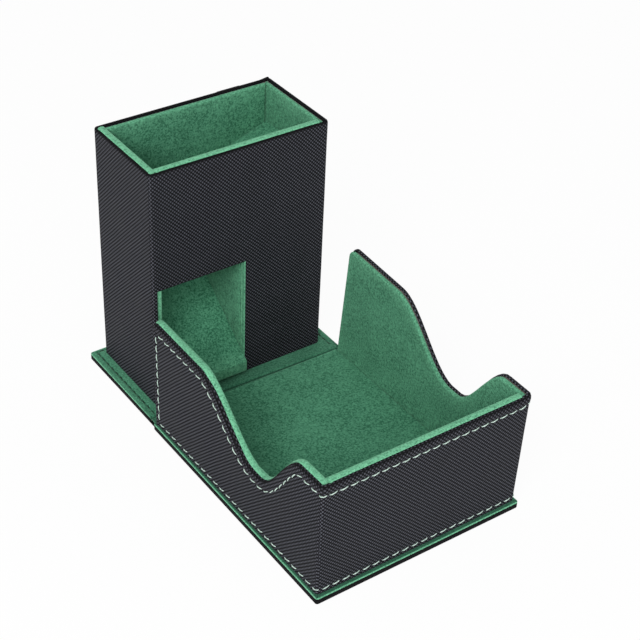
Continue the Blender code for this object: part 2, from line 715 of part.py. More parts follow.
def round_the_front(side_row, height):
    """A row's path along the left wall, round the front corners and back along the right wall."""
    radius = COVER_CORNER_RADIUS
    corner_x = TRAY_HALF - radius
    corner_y = TRAY_FRONT + radius
    path = [((-TRAY_HALF, y, z), (-1, 0, 0)) for y, z in side_row]
    for x, start, end in ((-corner_x, 180, 270), (corner_x, 270, 360)):
        for (point_x, point_y), (face_x, face_y) in zip(
            arc(x, corner_y, radius, start, end), arc(0, 0, 1, start, end)
        ):
            path.append(((point_x, point_y, height), (face_x, face_y, 0)))
    return path + [((TRAY_HALF, y, z), (1, 0, 0)) for y, z in reversed(side_row)]


rim_row = RIM_LEVEL - RIM_STITCH_INSET
rear_row = TRAY_HEIGHT - RIM_STITCH_INSET
foot_row = BASE_TOP + FOOT_STITCH_INSET
end_row_foot = TRAY_REAR - END_STITCH_INSET
end_row_rim = end_row_foot - REAR_EDGE_LEAN
rim_side = [(end_row_rim - STITCH_PITCH, rear_row)] + rim_line(RIM_STITCH_INSET)
rim_path = round_the_front(rim_side, rim_row)
thread_row("tray_rim_thread", rim_path, STITCH_THICKNESS, PALE_THREAD, tray_fold)
foot_side = [(end_row_foot - STITCH_PITCH, foot_row)]
foot_path = round_the_front(foot_side, foot_row)
thread_row("tray_foot_thread", foot_path, STITCH_THICKNESS, PALE_THREAD, tray_fold)
for side_name, side in (("left", -1), ("right", 1)):
    end_path = [
        ((side * TRAY_HALF, end_row_foot, foot_row), (side, 0, 0)),
        ((side * TRAY_HALF, end_row_rim, rear_row), (side, 0, 0)),
    ]
    thread_row(f"tray_{side_name}_end_thread", end_path, STITCH_THICKNESS, PALE_THREAD, tray_fold)

border_half = REAR_PANEL_HALF - MARGIN_STITCH_INSET
border_back = REAR_PANEL_BACK - BACK_STITCH_INSET
border_corners = [
    (-border_half, REAR_PANEL_FRONT),
    (-border_half, border_back),
    (border_half, border_back),
    (border_half, REAR_PANEL_FRONT),
]
border_path = [((x, y, BASE_TOP), (0, 0, 1)) for x, y in border_corners]
thread_row("rear_border_thread", border_path, MARGIN_STITCH_THICKNESS, GREEN_THREAD)
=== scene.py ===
import math

import bmesh
import bpy
import numpy as np
from mathutils import Matrix, Vector, noise


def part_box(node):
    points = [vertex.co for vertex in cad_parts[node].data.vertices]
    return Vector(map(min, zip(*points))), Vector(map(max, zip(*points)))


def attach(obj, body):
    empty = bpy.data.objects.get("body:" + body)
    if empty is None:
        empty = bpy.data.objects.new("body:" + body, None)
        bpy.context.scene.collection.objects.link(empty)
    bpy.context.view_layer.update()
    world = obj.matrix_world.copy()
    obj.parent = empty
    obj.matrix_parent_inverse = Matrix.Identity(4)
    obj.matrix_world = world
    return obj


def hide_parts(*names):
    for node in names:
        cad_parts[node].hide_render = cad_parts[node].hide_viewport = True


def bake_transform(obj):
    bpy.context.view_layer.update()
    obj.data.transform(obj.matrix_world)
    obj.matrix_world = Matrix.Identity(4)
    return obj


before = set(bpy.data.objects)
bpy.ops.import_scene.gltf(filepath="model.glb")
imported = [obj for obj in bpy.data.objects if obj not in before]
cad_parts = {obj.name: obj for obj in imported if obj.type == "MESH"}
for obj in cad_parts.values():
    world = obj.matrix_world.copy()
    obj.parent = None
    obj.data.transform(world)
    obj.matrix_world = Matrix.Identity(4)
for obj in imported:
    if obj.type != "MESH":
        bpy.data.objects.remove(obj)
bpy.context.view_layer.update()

# Studio. A long lens looks down on the box from its front left. Its place and focal length were
# fitted to the box's straight edges. The floor and the room are pale, and the lamps are soft.
VIEW_AZIMUTH = math.radians(-36.496)
VIEW_ELEVATION = math.radians(36.024)
VIEW_ROLL = math.radians(2.648)
VIEW_TARGET = Vector((0.15807, 0.14972, -0.11794))
VIEW_DISTANCE = 1.01023
LENS_MM = 87.545

FLOOR_SIZE = 12
FLOOR_DROP = 0.0002
FLOOR_COLOUR = (0.80, 0.80, 0.80, 1)
WHITE = (1, 1, 1, 1)
FLOOR_WHITENESS = 0.95
ROOM_LIGHT = 0.55

# Each lamp: its place, its side, and its power
LAMPS = {
    "key": ((-0.95, -0.82, 1.05), 0.80, 18.0),
    "fill": ((-0.45, -1.20, 0.45), 0.60, 3.0),
}
LAMP_TARGET = Vector((0, -0.04, 0.04))


class Wire:
    """One output of a shader node. Python's operators on it add Math nodes to the same tree."""

    def __init__(self, tree, output=None):
        self.tree = tree
        self.output = output

    def node(self, kind, settings=(), sockets=(), output=0):
        """Adds a node, its settings first and then its sockets' values or links."""
        made = self.tree.nodes.new("ShaderNode" + kind)
        for name, value in dict(settings).items():
            setattr(made, name, value)
        for name, value in dict(sockets).items():
            if isinstance(value, Wire):
                self.tree.links.new(value.output, made.inputs[name])
            else:
                made.inputs[name].default_value = value
        return Wire(self.tree, made.outputs[output])

    def maths(self, operation, *terms):
        return self.node("Math", {"operation": operation}, enumerate(terms))

    def also(self, output):
        """Another output of the same node."""
        return Wire(self.tree, self.output.node.outputs[output])

    def into(self, socket):
        self.tree.links.new(self.output, socket)

    def __add__(self, other):
        return self.maths("ADD", self, other)

    def __sub__(self, other):
        return self.maths("SUBTRACT", self, other)

    def __rsub__(self, other):
        return self.maths("SUBTRACT", other, self)

    def __mul__(self, other):
        return self.maths("MULTIPLY", self, other)

    __radd__ = __add__
    __rmul__ = __mul__


view_back = Vector(
    (
        math.sin(VIEW_AZIMUTH) * math.cos(VIEW_ELEVATION),
        -math.cos(VIEW_AZIMUTH) * math.cos(VIEW_ELEVATION),
        math.sin(VIEW_ELEVATION),
    )
)
level_right = Vector((math.cos(VIEW_AZIMUTH), math.sin(VIEW_AZIMUTH), 0))
level_up = view_back.cross(level_right)
view_right = level_right * math.cos(VIEW_ROLL) + level_up * math.sin(VIEW_ROLL)
view_up = level_up * math.cos(VIEW_ROLL) - level_right * math.sin(VIEW_ROLL)
camera = bpy.data.objects.new("camera", bpy.data.cameras.new("camera"))
camera.data.lens = LENS_MM
camera.matrix_world = Matrix.Translation(VIEW_TARGET + view_back * VIEW_DISTANCE) @ Matrix(
    (view_right, view_up, view_back)
).transposed().to_4x4()
bpy.context.scene.collection.objects.link(camera)
bpy.context.scene.camera = camera
bpy.context.scene.view_settings.view_transform = "Standard"

for lamp_name, (lamp_place, lamp_side, lamp_power) in LAMPS.items():
    lamp = bpy.data.objects.new(lamp_name, bpy.data.lights.new(lamp_name, "AREA"))
    lamp.data.size = lamp_side
    lamp.data.energy = lamp_power
    lamp.location = lamp_place
    lamp.rotation_euler = (LAMP_TARGET - lamp.location).to_track_quat("-Z", "Y").to_euler()
    bpy.context.scene.collection.objects.link(lamp)


def seen_white(wire):
    """1 where the camera, a reflection or a clear body looks straight at the background."""
    path = wire.node("LightPath", output="Is Camera Ray")
    looks = path.maths("MAXIMUM", path, path.also("Is Glossy Ray"))
    return looks.maths("MAXIMUM", looks, path.also("Is Transmission Ray"))


room = bpy.data.worlds.new("room")
room.use_nodes = True
room_wire = Wire(room.node_tree)
white_where_seen = seen_white(room_wire) * (1 - ROOM_LIGHT) + ROOM_LIGHT
white_where_seen.into(room.node_tree.nodes["Background"].inputs["Strength"])
room.node_tree.nodes["Background"].inputs["Color"].default_value = WHITE
bpy.context.scene.world = room

floor_paper = bpy.data.materials.new("floor_paper")
floor_paper.use_nodes = True
floor_wire = Wire(floor_paper.node_tree)
floor_shader = floor_paper.node_tree.nodes["Principled BSDF"]
floor_shader.inputs["Base Color"].default_value = FLOOR_COLOUR
floor_shader.inputs["Roughness"].default_value = 1
floor_shader.inputs["Specular IOR Level"].default_value = 0
paper = Wire(floor_paper.node_tree, floor_shader.outputs[0])
glow = floor_wire.node("Emission", sockets={"Color": WHITE, "Strength": 1.0})
paper_or_glow = floor_wire.node(
    "MixShader", sockets={0: seen_white(floor_wire) * FLOOR_WHITENESS, 1: paper, 2: glow}
)
paper_or_glow.into(floor_paper.node_tree.nodes["Material Output"].inputs["Surface"])

floor_mesh = bpy.data.meshes.new("floor")
floor_corner = FLOOR_SIZE / 2
floor_mesh.from_pydata(
    [
        (x * floor_corner, y * floor_corner, -FLOOR_DROP)
        for x, y in ((-1, -1), (1, -1), (1, 1), (-1, 1))
    ],
    [],
    [(0, 1, 2, 3)],
)
floor_mesh.materials.append(floor_paper)
floor = bpy.data.objects.new("floor", floor_mesh)
bpy.context.scene.collection.objects.link(floor)


# Greyboards. Every panel and wall is a flat board of pressed grey pulp, 1 to 3 mm thick, cut to
# size and hidden between its cover and its lining. The CAD boards stay as they are.
BOARD_COLOUR = (0.30, 0.275, 0.24, 1)
BOARD_FLECK = (0.20, 0.18, 0.155, 1)
BOARD_FIBRE = 0.0009
BOARD_RELIEF = 0.00004
BOARD_CONTRAST = 3


def finish(name, even):
    """A material with one Principled shader, whose even values go straight onto its sockets."""
    material = bpy.data.materials.new(name)
    material.use_nodes = True
    shader = material.node_tree.nodes["Principled BSDF"]
    for socket, value in even.items():
        shader.inputs[socket].default_value = value
    return material, Wire(material.node_tree), shader.inputs


def grain(wire, size, detail=3, roughness=0.55):
    """Noise of about a given size in metres, between 0 and 1 with 0.5 in the middle."""
    place = wire.node("TexCoord", output="Object")
    return wire.node(
        "TexNoise",
        sockets={"Vector": place, "Scale": 1 / size, "Detail": detail, "Roughness": roughness},
    )


def mixed(share, low, high):
    """A colour between two, for a share from 0 to 1."""
    settings = {"data_type": "RGBA", "clamp_factor": True}
    return share.node("Mix", settings, {0: share, 6: low, 7: high}, output=2)


def relief(height, depth, onto):
    """Bumps of a given depth in metres, for a height from 0 to 1."""
    height.node("Bump", sockets={"Height": height, "Distance": depth}, output="Normal").into(onto)


def refinish(material, *words):
    """Gives a material to the frame's own solids, by words in their names."""
    for node_name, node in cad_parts.items():
        if any(word in node_name for word in words):
            node.data.materials.clear()
            node.data.materials.append(material)


greyboard, board_wire, board_sockets = finish("greyboard", {"Roughness": 0.92})
board_grain = grain(board_wire, BOARD_FIBRE)
fleck = (board_grain - 0.5) * BOARD_CONTRAST + 0.5
mixed(fleck, BOARD_FLECK, BOARD_COLOUR).into(board_sockets["Base Color"])
relief(board_grain, BOARD_RELIEF, board_sockets["Normal"])
refinish(greyboard, "_board")


# Closing magnets and keepers. Plated steel discs, let into the tray's front board and the tower's
# back board under the leatherette. They stay as the CAD has them.
STEEL_COLOUR = (0.56, 0.57, 0.58, 1)
STEEL_STREAK = 0.0006
STEEL_ROUGHNESS = 0.2
STEEL_UNEVENNESS = 0.3

plated_steel, steel_wire, steel_sockets = finish(
    "plated_steel", {"Base Color": STEEL_COLOUR, "Metallic": 1}
)
streak = grain(steel_wire, STEEL_STREAK)
(streak * STEEL_UNEVENNESS + STEEL_ROUGHNESS).into(steel_sockets["Roughness"])
refinish(plated_steel, "disc", "magnet")


# Leatherette under the base. One sheet lies below both base boards, is turned up round their edges
# and bends between them. Its embossed grain is a lattice of small cushions set on the diagonal.
PANEL_CORNER = 0.0013
STEP_CORNER = 0.0004
STEP_FRONT = 0.0002
STEP_REAR = 0.0007
BASE_SIDE_TOP = 0.0028
BASE_FOOT_ROUND = 0.0006
BASE_TOP_ROUND = 0.0004
BASE_TURN_UP = 0.0028
SKIN = 0.00045
ABOVE_SKIN = SKIN * 1.5
HINGE_EDGE_TOP = 0.0011
HINGE_CUTS = 9
CUT_SPACING = 0.006
FINE = 0.0001
CUT_EXACT = 1e-6

LATTICE_PITCH = 0.00137
LATTICE_WANDER = 0.0004
LATTICE_DEPTH = 0.00030
LATTICE_PRESSED = 0.95
# Groove colour: near black, as painted shade. Cushion colour: lighter, as a painted highlight on
# the tops.
GROOVE_SHADE_BLACK = (0.0010, 0.0010, 0.0014, 1)
CUSHION_HIGHLIGHT_BLACK = (0.1080, 0.1120, 0.1360, 1)
GROOVE_ROUGHNESS = 0.75
CUSHION_ROUGHNESS = 0.50
WEAR_PATCH = 0.018
WEAR_TONE = 0.5
WEAR_ROUGHNESS = 0.3
MOSTLY = 0.7

# Parts of the frame that the sheets of the base follow
rear_low, rear_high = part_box("rear_base_cover")
front_low, front_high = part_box("front_base_cover")
hinge_rear, hinge_front = rear_low.y, front_high.y


def leatherette_finish(name):
    """Black embossed leatherette. The lattice lies in the plane that the surface faces."""
    material, wire, sockets = finish(name, {"Specular IOR Level": 0.10})
    place = wire.node("TexCoord", output="Object")
    wander = wire.node("TexNoise", sockets={"Vector": place, "Scale": 1 / WEAR_PATCH}, output=1)
    terms = {0: wander, 1: (LATTICE_WANDER,) * 3, 2: place}
    strayed = wire.node("VectorMath", {"operation": "MULTIPLY_ADD"}, terms)
    across = wire.node("SeparateXYZ", sockets={0: strayed})
    depth, height = across.also(1), across.also(2)
    facing = wire.node("SeparateXYZ", sockets={0: place.also("Normal")})
    sideways = facing.maths("GREATER_THAN", facing.maths("ABSOLUTE", facing), MOSTLY)
    upright = facing.also(2)
    level = upright.maths("GREATER_THAN", upright.maths("ABSOLUTE", upright), MOSTLY)
    along = across + (depth - across) * sideways
    up = height + (depth - height) * level
    turn = math.tau / (LATTICE_PITCH * math.sqrt(2))
    rise = wire.maths("COSINE", (along + up) * turn)
    fall = wire.maths("COSINE", (along - up) * turn)
    pressed = wire.node("Attribute", {"attribute_name": "pressed_edge"}, output="Fac")
    cushion = (rise * 0.5 + 0.5) * (fall * 0.5 + 0.5) * (1 - pressed * LATTICE_PRESSED)
    patch = grain(wire, WEAR_PATCH, 2) - 0.5
    tone = cushion * (patch * WEAR_TONE + 1)
    # Painted highlight and shade: the cushion tops are painted lighter and the grooves near black,
    # varied at random by the wear patches
    mixed(tone, GROOVE_SHADE_BLACK, CUSHION_HIGHLIGHT_BLACK).into(sockets["Base Color"])
    rough = cushion * (CUSHION_ROUGHNESS - GROOVE_ROUGHNESS) + GROOVE_ROUGHNESS
    (rough + patch * WEAR_ROUGHNESS).into(sockets["Roughness"])
    relief(cushion, LATTICE_DEPTH, sockets["Normal"])
    return material


leatherette = leatherette_finish("black_leatherette")


def mark(piece, name, share_at):
    """Stores a share from 0 to 1 at each corner of a piece, for its material to read."""
    attribute = piece.data.attributes.new(name, "FLOAT", "POINT")
    shares = [share_at(corner.co) for corner in piece.data.vertices]
    attribute.data.foreach_set("value", np.array(shares, np.float32))


def smooth(low, high, value):
    """0 below low, 1 above high, and an even rise between them."""
    share = min(1.0, max(0.0, (value - low) / (high - low)))
    return share * share * (3 - 2 * share)


def rounded(corners, steps=5):
    """An outline through corners, each given by its place and the radius that rounds it."""
    points = []
    for index, (x, y, radius) in enumerate(corners):
        here = np.array((x, y))
        before = np.array(corners[index - 1][:2]) - here
        after = np.array(corners[(index + 1) % len(corners)][:2]) - here
        before /= np.linalg.norm(before)
        after /= np.linalg.norm(after)
        half = math.acos(np.clip(before @ after, -1, 1)) / 2
        if not radius or half > math.radians(89):
            points.append(here)
            continue
        middle = (before + after) / np.linalg.norm(before + after)
        centre = here + middle * radius / math.sin(half)
        start = here + before * radius / math.tan(half) - centre
        end = here + after * radius / math.tan(half) - centre
        first = math.atan2(start[1], start[0])
        turn = (math.atan2(end[1], end[0]) - first + math.pi) % math.tau - math.pi
        for step in range(steps + 1):
            angle = first + turn * step / steps
            points.append(centre + radius * np.array((math.cos(angle), math.sin(angle))))
    return np.array(points)


def inset(outline, distance):
    """An outline moved inwards, whichever way round it runs."""
    ahead = np.roll(outline, -1, 0) - outline
    ahead /= np.linalg.norm(ahead, axis=1, keepdims=True)
    across, up = outline.T
    area = (across * np.roll(up, -1) - np.roll(across, -1) * up).sum()
    inward = np.stack([-ahead[:, 1], ahead[:, 0]], 1) * np.sign(area)
    both = inward + np.roll(inward, 1, 0)
    return outline + both * 2 / (both**2).sum(1, keepdims=True) * distance


def join_loops(shape, loops):
    """Closes a tube through loops of corners, and both its ends."""
    for lower, upper in zip(loops, loops[1:]):
        for index in range(len(lower)):
            after = (index + 1) % len(lower)
            shape.faces.new((lower[index], lower[after], upper[after], upper[index]))
    shape.faces.new(loops[0])
    shape.faces.new(loops[-1])


def ring_solid(outline, rings, axis="z"):
    """A closed shape through rings, each an inset of the outline at a place along the axis."""
    shape = bmesh.new()
    order = {"x": (2, 0, 1), "y": (0, 2, 1), "z": (0, 1, 2)}[axis]
    rows = []
    for distance, along in rings:
        flat = inset(outline, distance)
        points = np.column_stack([flat, np.full(len(flat), along)])[:, order]
        rows.append([shape.verts.new(point) for point in points])
    join_loops(shape, rows)
    return shape


def cut_across(shape, axis, places, slant=0.0):
    """Cuts the faces along planes, so that the shape can bend there. Slant is y's change with x."""
    facing = [float(axis == letter) for letter in "xyz"]
    facing[0] -= slant
    for place in places:
        bmesh.ops.bisect_plane(
            shape,
            geom=shape.verts[:] + shape.edges[:] + shape.faces[:],
            dist=CUT_EXACT,
            plane_co=[place * float(axis == letter) for letter in "xyz"],
            plane_no=facing,
        )


def steps_between(low, high, spacing):
    """Places between two ends, spread evenly at about a spacing."""
    count = max(1, round((high - low) / spacing))
    return [low + (high - low) * step / count for step in range(1, count)]


def cut_evenly(shape, axes, spacing=CUT_SPACING):
    """Cuts a whole shape across each of some axes."""
    for axis in axes:
        places = [corner.co["xyz".index(axis)] for corner in shape.verts]
        cut_across(shape, axis, steps_between(min(places), max(places), spacing))


def make(name, shape, material, sharp_degrees=50):
    """A piece of the part from a shape, smooth but for its sharp edges."""
    bmesh.ops.recalc_face_normals(shape, faces=shape.faces)
    bmesh.ops.triangulate(shape, faces=[face for face in shape.faces if len(face.verts) > 4])
    mesh = bpy.data.meshes.new(name)
    shape.to_mesh(mesh)
    shape.free()
    mesh.materials.append(material)
    mesh.shade_smooth()
    mesh.set_sharp_from_angle(angle=math.radians(sharp_degrees))
    piece = bpy.data.objects.new(name, mesh)
    bpy.context.scene.collection.objects.link(piece)
    return piece


def quarter(steps=4):
    """Cosines and sines of a quarter turn."""
    turns = [math.pi / 2 * step / steps for step in range(steps + 1)]
    return [(math.cos(turn), math.sin(turn)) for turn in turns]


def rounded_top(top, radius, steps=4):
    """Insets and heights round an upper edge."""
    return [(radius * (1 - c), top - radius * (1 - s)) for c, s in quarter(steps)]


def rounded_rings(low, high, low_round, high_round, steps=4):
    """Rings from a rounded lower edge to a rounded upper one."""
    rings = [(low_round * (1 - s), low + low_round * (1 - c)) for c, s in quarter(steps)]
    return rings + rounded_top(high, high_round, steps)


def hinge_cuts(count):
    """Places across the hinge strip, where a sheet can bend."""
    return [hinge_front + (hinge_rear - hinge_front) * step / count for step in range(count + 1)]


def lay_on_base(piece, held, turn_up, *nodes):
    """Bakes a sheet that covers both base panels into place, and hides the nodes it stands for."""
    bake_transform(piece)
    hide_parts(*nodes)


# Both base panels and the strip between them, seen from above
base_right = [
    (front_high.x, front_low.y, PANEL_CORNER),
    (front_high.x, hinge_front - STEP_FRONT, STEP_CORNER),
    (rear_high.x, hinge_front + STEP_REAR, STEP_CORNER),
    (rear_high.x, rear_high.y, PANEL_CORNER),
]
base_outline = rounded(base_right + [(-x, y, radius) for x, y, radius in reversed(base_right)])
base_cuts = steps_between(front_low.y, rear_high.y, CUT_SPACING)

inner_inset = SKIN + FINE
base_rings = rounded_rings(0, BASE_SIDE_TOP, BASE_FOOT_ROUND, BASE_TOP_ROUND)
base_rings += [(inner_inset, BASE_SIDE_TOP - SKIN), (inner_inset, SKIN * 2), (SKIN * 2, SKIN)]
base_skin = ring_solid(base_outline, base_rings)
cut_across(base_skin, "y", base_cuts + hinge_cuts(HINGE_CUTS))
for corner in base_skin.verts:
    in_hinge = hinge_front + FINE < corner.co.y < hinge_rear - FINE
    if in_hinge and corner.co.z > ABOVE_SKIN:
        share = (corner.co.z - SKIN) / (BASE_SIDE_TOP - SKIN)
        corner.co.z = SKIN + share * (HINGE_EDGE_TOP - SKIN)
base_leatherette = make("base_leatherette", base_skin, leatherette)
mark(base_leatherette, "pressed_edge", lambda point: smooth(FINE, BASE_FOOT_ROUND, point.z))
lay_on_base(
    base_leatherette,
    "folded",
    BASE_TURN_UP,
    "rear_base_cover",
    "front_base_cover",
    "hinge_cover_strip",
)


# Suede on the base. One green sheet of short-napped suede is glued on top of both base boards,
# flush with their edges. It sinks into a crease where the tray folds, and under its border seam.
SUEDE_ROUND = 0.00028
SUEDE_HINGE_CUTS = 10
TOP_RINGS = (0.0004, 0.0006, 0.0010, 0.0016)
CREASE_PLACE = -0.0075
CREASE_DEPTH = 0.0011
CREASE_WIDTH = 0.0012
CREASE_SLANT = -0.018
CREASE_CUTS = (-0.0012, -0.0008, -0.0005, -0.00025, 0, 0.00025, 0.0005, 0.0008, 0.0012)
MARGIN_BAND = 0.0020
MARGIN_CUTS = (0, 0.0004)
SEAM_DEPTH = 0.00040
SEAM_WIDTH = 0.0008
SEAM_SIDE = 0.0032
SEAM_BACK = 0.0015
SEAM_CUTS = (-0.0016, -0.0008, -0.0004, 0, 0.0004, 0.0008, 0.0016)
EDGE_NAP_HIGHLIGHT_ZONE = (-0.0005, -FINE)
# Painted shade on the base suede: its strength and reach on the hinge strip, under the seam and
# beside the tray
HINGE_SHADE = 0.35
HINGE_SHADE_FRONT = 0.001
HINGE_SHADE_REAR = (0.0015, -0.0005)
SEAM_SHADE = 0.8
TRAY_SHADE = 0.75
TRAY_SHADE_FADE = 0.0003
TRAY_SHADE_EDGE = (-0.0003, -0.0006)

SUEDE_DARK = (0.018, 0.108, 0.058, 1)
SUEDE_LIGHT = (0.105, 0.345, 0.205, 1)
# Colour of the raised nap with its painted highlight, and colour of painted shade
NAP_HIGHLIGHT_COLOUR = (0.185, 0.520, 0.310, 1)
PAINTED_SHADE_GREEN = (0.006, 0.036, 0.022, 1)
FIBRE = 0.0009
TUFT = 0.0024
STROKE = 0.016
SUEDE_RELIEF = 0.00030
FIBRE_HEIGHT = 0.7
TUFT_HEIGHT = 0.6
FIBRE_TONE = 3.6
TUFT_TONE = 0.5
STROKE_TONE = 0.6
NAP_HIGHLIGHT_TONE = 2.6
NAP_HIGHLIGHT_COVER = 0.62
PAINTED_SHADE_COVER = 0.9


def suede_finish(name):
    """Green suede: short nap in fine tufts, darker and lighter where it was stroked."""
    material, wire, sockets = finish(
        name,
        {
            "Roughness": 0.95,
            "Specular IOR Level": 0.15,
            "Sheen Weight": 0.35,
            "Sheen Roughness": 0.45,
            "Sheen Tint": (0.45, 0.85, 0.60, 1),
        },
    )
    fibre = grain(wire, FIBRE, 4, 0.7)
    tuft = grain(wire, TUFT, 3)
    stroke = grain(wire, STROKE, 2)
    tone = (fibre - 0.5) * FIBRE_TONE + (tuft - 0.5) * TUFT_TONE
    tone = tone + (stroke - 0.5) * STROKE_TONE + 0.5
    # Raised nap with a painted highlight lightens the suede where a piece marks it
    raised = wire.node("Attribute", {"attribute_name": "raised_nap_and_highlight"}, output="Fac")
    body = mixed(tone, SUEDE_DARK, SUEDE_LIGHT)
    nap_and_highlight = mixed(raised * ((fibre - 0.5) * NAP_HIGHLIGHT_TONE + NAP_HIGHLIGHT_COVER), body, NAP_HIGHLIGHT_COLOUR)
    # Painted shade darkens the suede where a piece marks it
    shade_share = wire.node("Attribute", {"attribute_name": "painted_shade"}, output="Fac")
    mixed(shade_share * PAINTED_SHADE_COVER, nap_and_highlight, PAINTED_SHADE_GREEN).into(sockets["Base Color"])
    relief(fibre * FIBRE_HEIGHT + tuft * TUFT_HEIGHT, SUEDE_RELIEF, sockets["Normal"])
    return material


suede = suede_finish("green_suede")


lining_low, lining_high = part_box("rear_base_lining")
seam_half = rear_high.x - SEAM_SIDE
seam_back = rear_high.y - SEAM_BACK

suede_rings = rounded_rings(lining_low.z, lining_high.z, SUEDE_ROUND, SUEDE_ROUND, 3)
suede_rings += [(ring, lining_high.z) for ring in TOP_RINGS]
base_sheet = ring_solid(base_outline, suede_rings)
cut_across(base_sheet, "y", base_cuts + hinge_cuts(SUEDE_HINGE_CUTS))
cut_across(base_sheet, "y", [CREASE_PLACE + near for near in CREASE_CUTS], CREASE_SLANT)
cut_across(base_sheet, "x", steps_between(-rear_high.x, rear_high.x, CUT_SPACING))
margin_side = front_high.x - MARGIN_BAND
for side in (-1, 1):
    cut_across(base_sheet, "x", [side * (seam_half + near) for near in SEAM_CUTS])
    cut_across(base_sheet, "x", [side * (margin_side - near) for near in MARGIN_CUTS])
cut_across(base_sheet, "y", [front_low.y + MARGIN_BAND + near for near in MARGIN_CUTS])
cut_across(base_sheet, "y", [seam_back + near for near in SEAM_CUTS[1:-1]])


def valley(distance, width):
    """1 in the middle of a furrow, and 0 beyond its width."""
    return 1 - smooth(0, width, abs(distance))


def in_crease(x, y):
    return valley(y - CREASE_PLACE - CREASE_SLANT * x, CREASE_WIDTH)


def in_seam(x, y):
    """1 along the border seam, which the rear panel alone has."""
    return valley(max(abs(x) - seam_half, y - seam_back), SEAM_WIDTH) if y > hinge_rear else 0


for corner in base_sheet.verts:
    x, y, z = corner.co
    drop = CREASE_DEPTH * in_crease(x, y) + SEAM_DEPTH * in_seam(x, y)
    corner.co.z -= drop * (z - lining_low.z) / (lining_high.z - lining_low.z)
base_suede = make("base_suede", base_sheet, suede)


# Raised nap and painted highlight along the outer edges of the base suede
def base_nap_highlight(point):
    side = rear_high.x if point.y > hinge_front else front_high.x
    outside = max(abs(point.x) - side, point.y - rear_high.y, front_low.y - point.y)
    return smooth(*EDGE_NAP_HIGHLIGHT_ZONE, outside)


def base_painted_shade(point):
    """Painted shade: darker in the crease, under the border seam, beside the tray's walls and on
    the strip in front of the tower.
    """
    x, y = point.x, point.y
    shade_by_hinge = HINGE_SHADE * smooth(hinge_front - HINGE_SHADE_FRONT, hinge_front, y)
    shade_by_hinge *= smooth(*HINGE_SHADE_REAR, y)
    if y > hinge_rear:
        return max(SEAM_SHADE * in_seam(x, y), shade_by_hinge)
    outside = max(abs(x) - front_high.x, front_low.y - y)
    shadow_by_tray = smooth(-MARGIN_BAND - TRAY_SHADE_FADE, -MARGIN_BAND, outside)
    shadow_by_tray *= TRAY_SHADE * smooth(*TRAY_SHADE_EDGE, outside)
    return max(in_crease(x, y), shade_by_hinge, shadow_by_tray)


mark(base_suede, "raised_nap_and_highlight", base_nap_highlight)
mark(base_suede, "painted_shade", base_painted_shade)
lay_on_base(
    base_suede, "laid", 0, "rear_base_lining", "front_base_lining", "hinge_lining_strip"
)


# Border seam. A row of dark green thread runs down both margins of the rear panel and behind the
# tower. It is sewn through the suede and pulled down into it.
GREEN_THREAD = (0.003, 0.022, 0.011, 1)
GREEN_THREAD_LIGHT = (0.008, 0.055, 0.028, 1)
THREAD_STRAND = 0.0005
THREAD_RELIEF = 0.00008
THREAD_CONTRAST = 2.5
SEAM_STITCH = {
    "pitch": 0.0044,
    "length": 0.0036,
    "width": 0.00070,
    "height": 0.00034,
    "slant": 0.0001,
}
SEAM_END = 0.0004
SEAM_CORNER = 0.0012
STITCH_SINK = 0.0003
STITCH_RINGS = 11
STITCH_SIDES = 8
STITCH_ARCH = 2.5
STITCH_TIP = 0.45
STITCH_SWELL = 0.7
STITCH_SUNK = 0.6
LEVEL_SEAM = 1e-3
PLY_TURNS = 2.2
PLY_DEPTH = 0.14


def thread_finish(name, shade, light):
    """Twisted thread, mottled at random between a darker and a lighter tone."""
    material, wire, sockets = finish(name, {"Roughness": 0.6, "Specular IOR Level": 0.3})
    strand = grain(wire, THREAD_STRAND, 2)
    mixed((strand - 0.5) * THREAD_CONTRAST + 0.5, shade, light).into(sockets["Base Color"])
    relief(strand, THREAD_RELIEF, sockets["Normal"])
    return material


green_thread = thread_finish("green_thread", GREEN_THREAD, GREEN_THREAD_LIGHT)


def run_along(points):
    """The distance run to each point of a line."""
    return np.concatenate([[0], np.cumsum(np.linalg.norm(np.diff(points, axis=0), axis=1))])


def read_at(distance, run, table):
    """A row of a table, read between its rows at a distance run."""
    return np.array([np.interp(distance, run, column) for column in table.T])


def stitch_row(path, outward, pitch, length, width, height, slant):
    """Stitches along a path: arched two-ply strands that cross it at a slant and dive in."""
    path, outward = np.asarray(path, float), np.asarray(outward, float)
    run = run_along(path)
    count = int((run[-1] - length) / pitch) + 1
    first = (run[-1] - (count - 1) * pitch) / 2
    shape = bmesh.new()
    for number in range(count):
        middle = first + number * pitch
        near, far = (read_at(middle + half, run, path) for half in (-length / 2, length / 2))
        ahead = (far - near) / np.linalg.norm(far - near)
        loops = []
        for share in np.linspace(0, 1, STITCH_RINGS):
            point, facing = (
                read_at(middle + (share - 0.5) * length, run, table) for table in (path, outward)
            )
            facing /= np.linalg.norm(facing)
            across = np.cross(ahead, facing)
            across /= np.linalg.norm(across)
            across *= math.copysign(1, across[2] + across[0] * LEVEL_SEAM)
            arch = 1 - abs(2 * share - 1) ** STITCH_ARCH
            fullness = STITCH_TIP + (1 - STITCH_TIP) * arch**STITCH_SWELL
            centre = point + facing * ((height + STITCH_SINK) * arch - STITCH_SINK - height / 2)
            centre += across * slant * math.sin(math.pi * (share - 0.5))
            loop = []
            for corner in range(STITCH_SIDES):
                angle = math.tau * corner / STITCH_SIDES
                ply = 1 + PLY_DEPTH * math.cos(2 * angle - PLY_TURNS * math.tau * share)
                sideways = across * math.cos(angle) * width / 2
                upwards = facing * math.sin(angle) * height / 2
                loop.append(shape.verts.new(centre + (sideways + upwards) * fullness * ply))
            loops.append(loop)
        join_loops(shape, loops)
    return shape


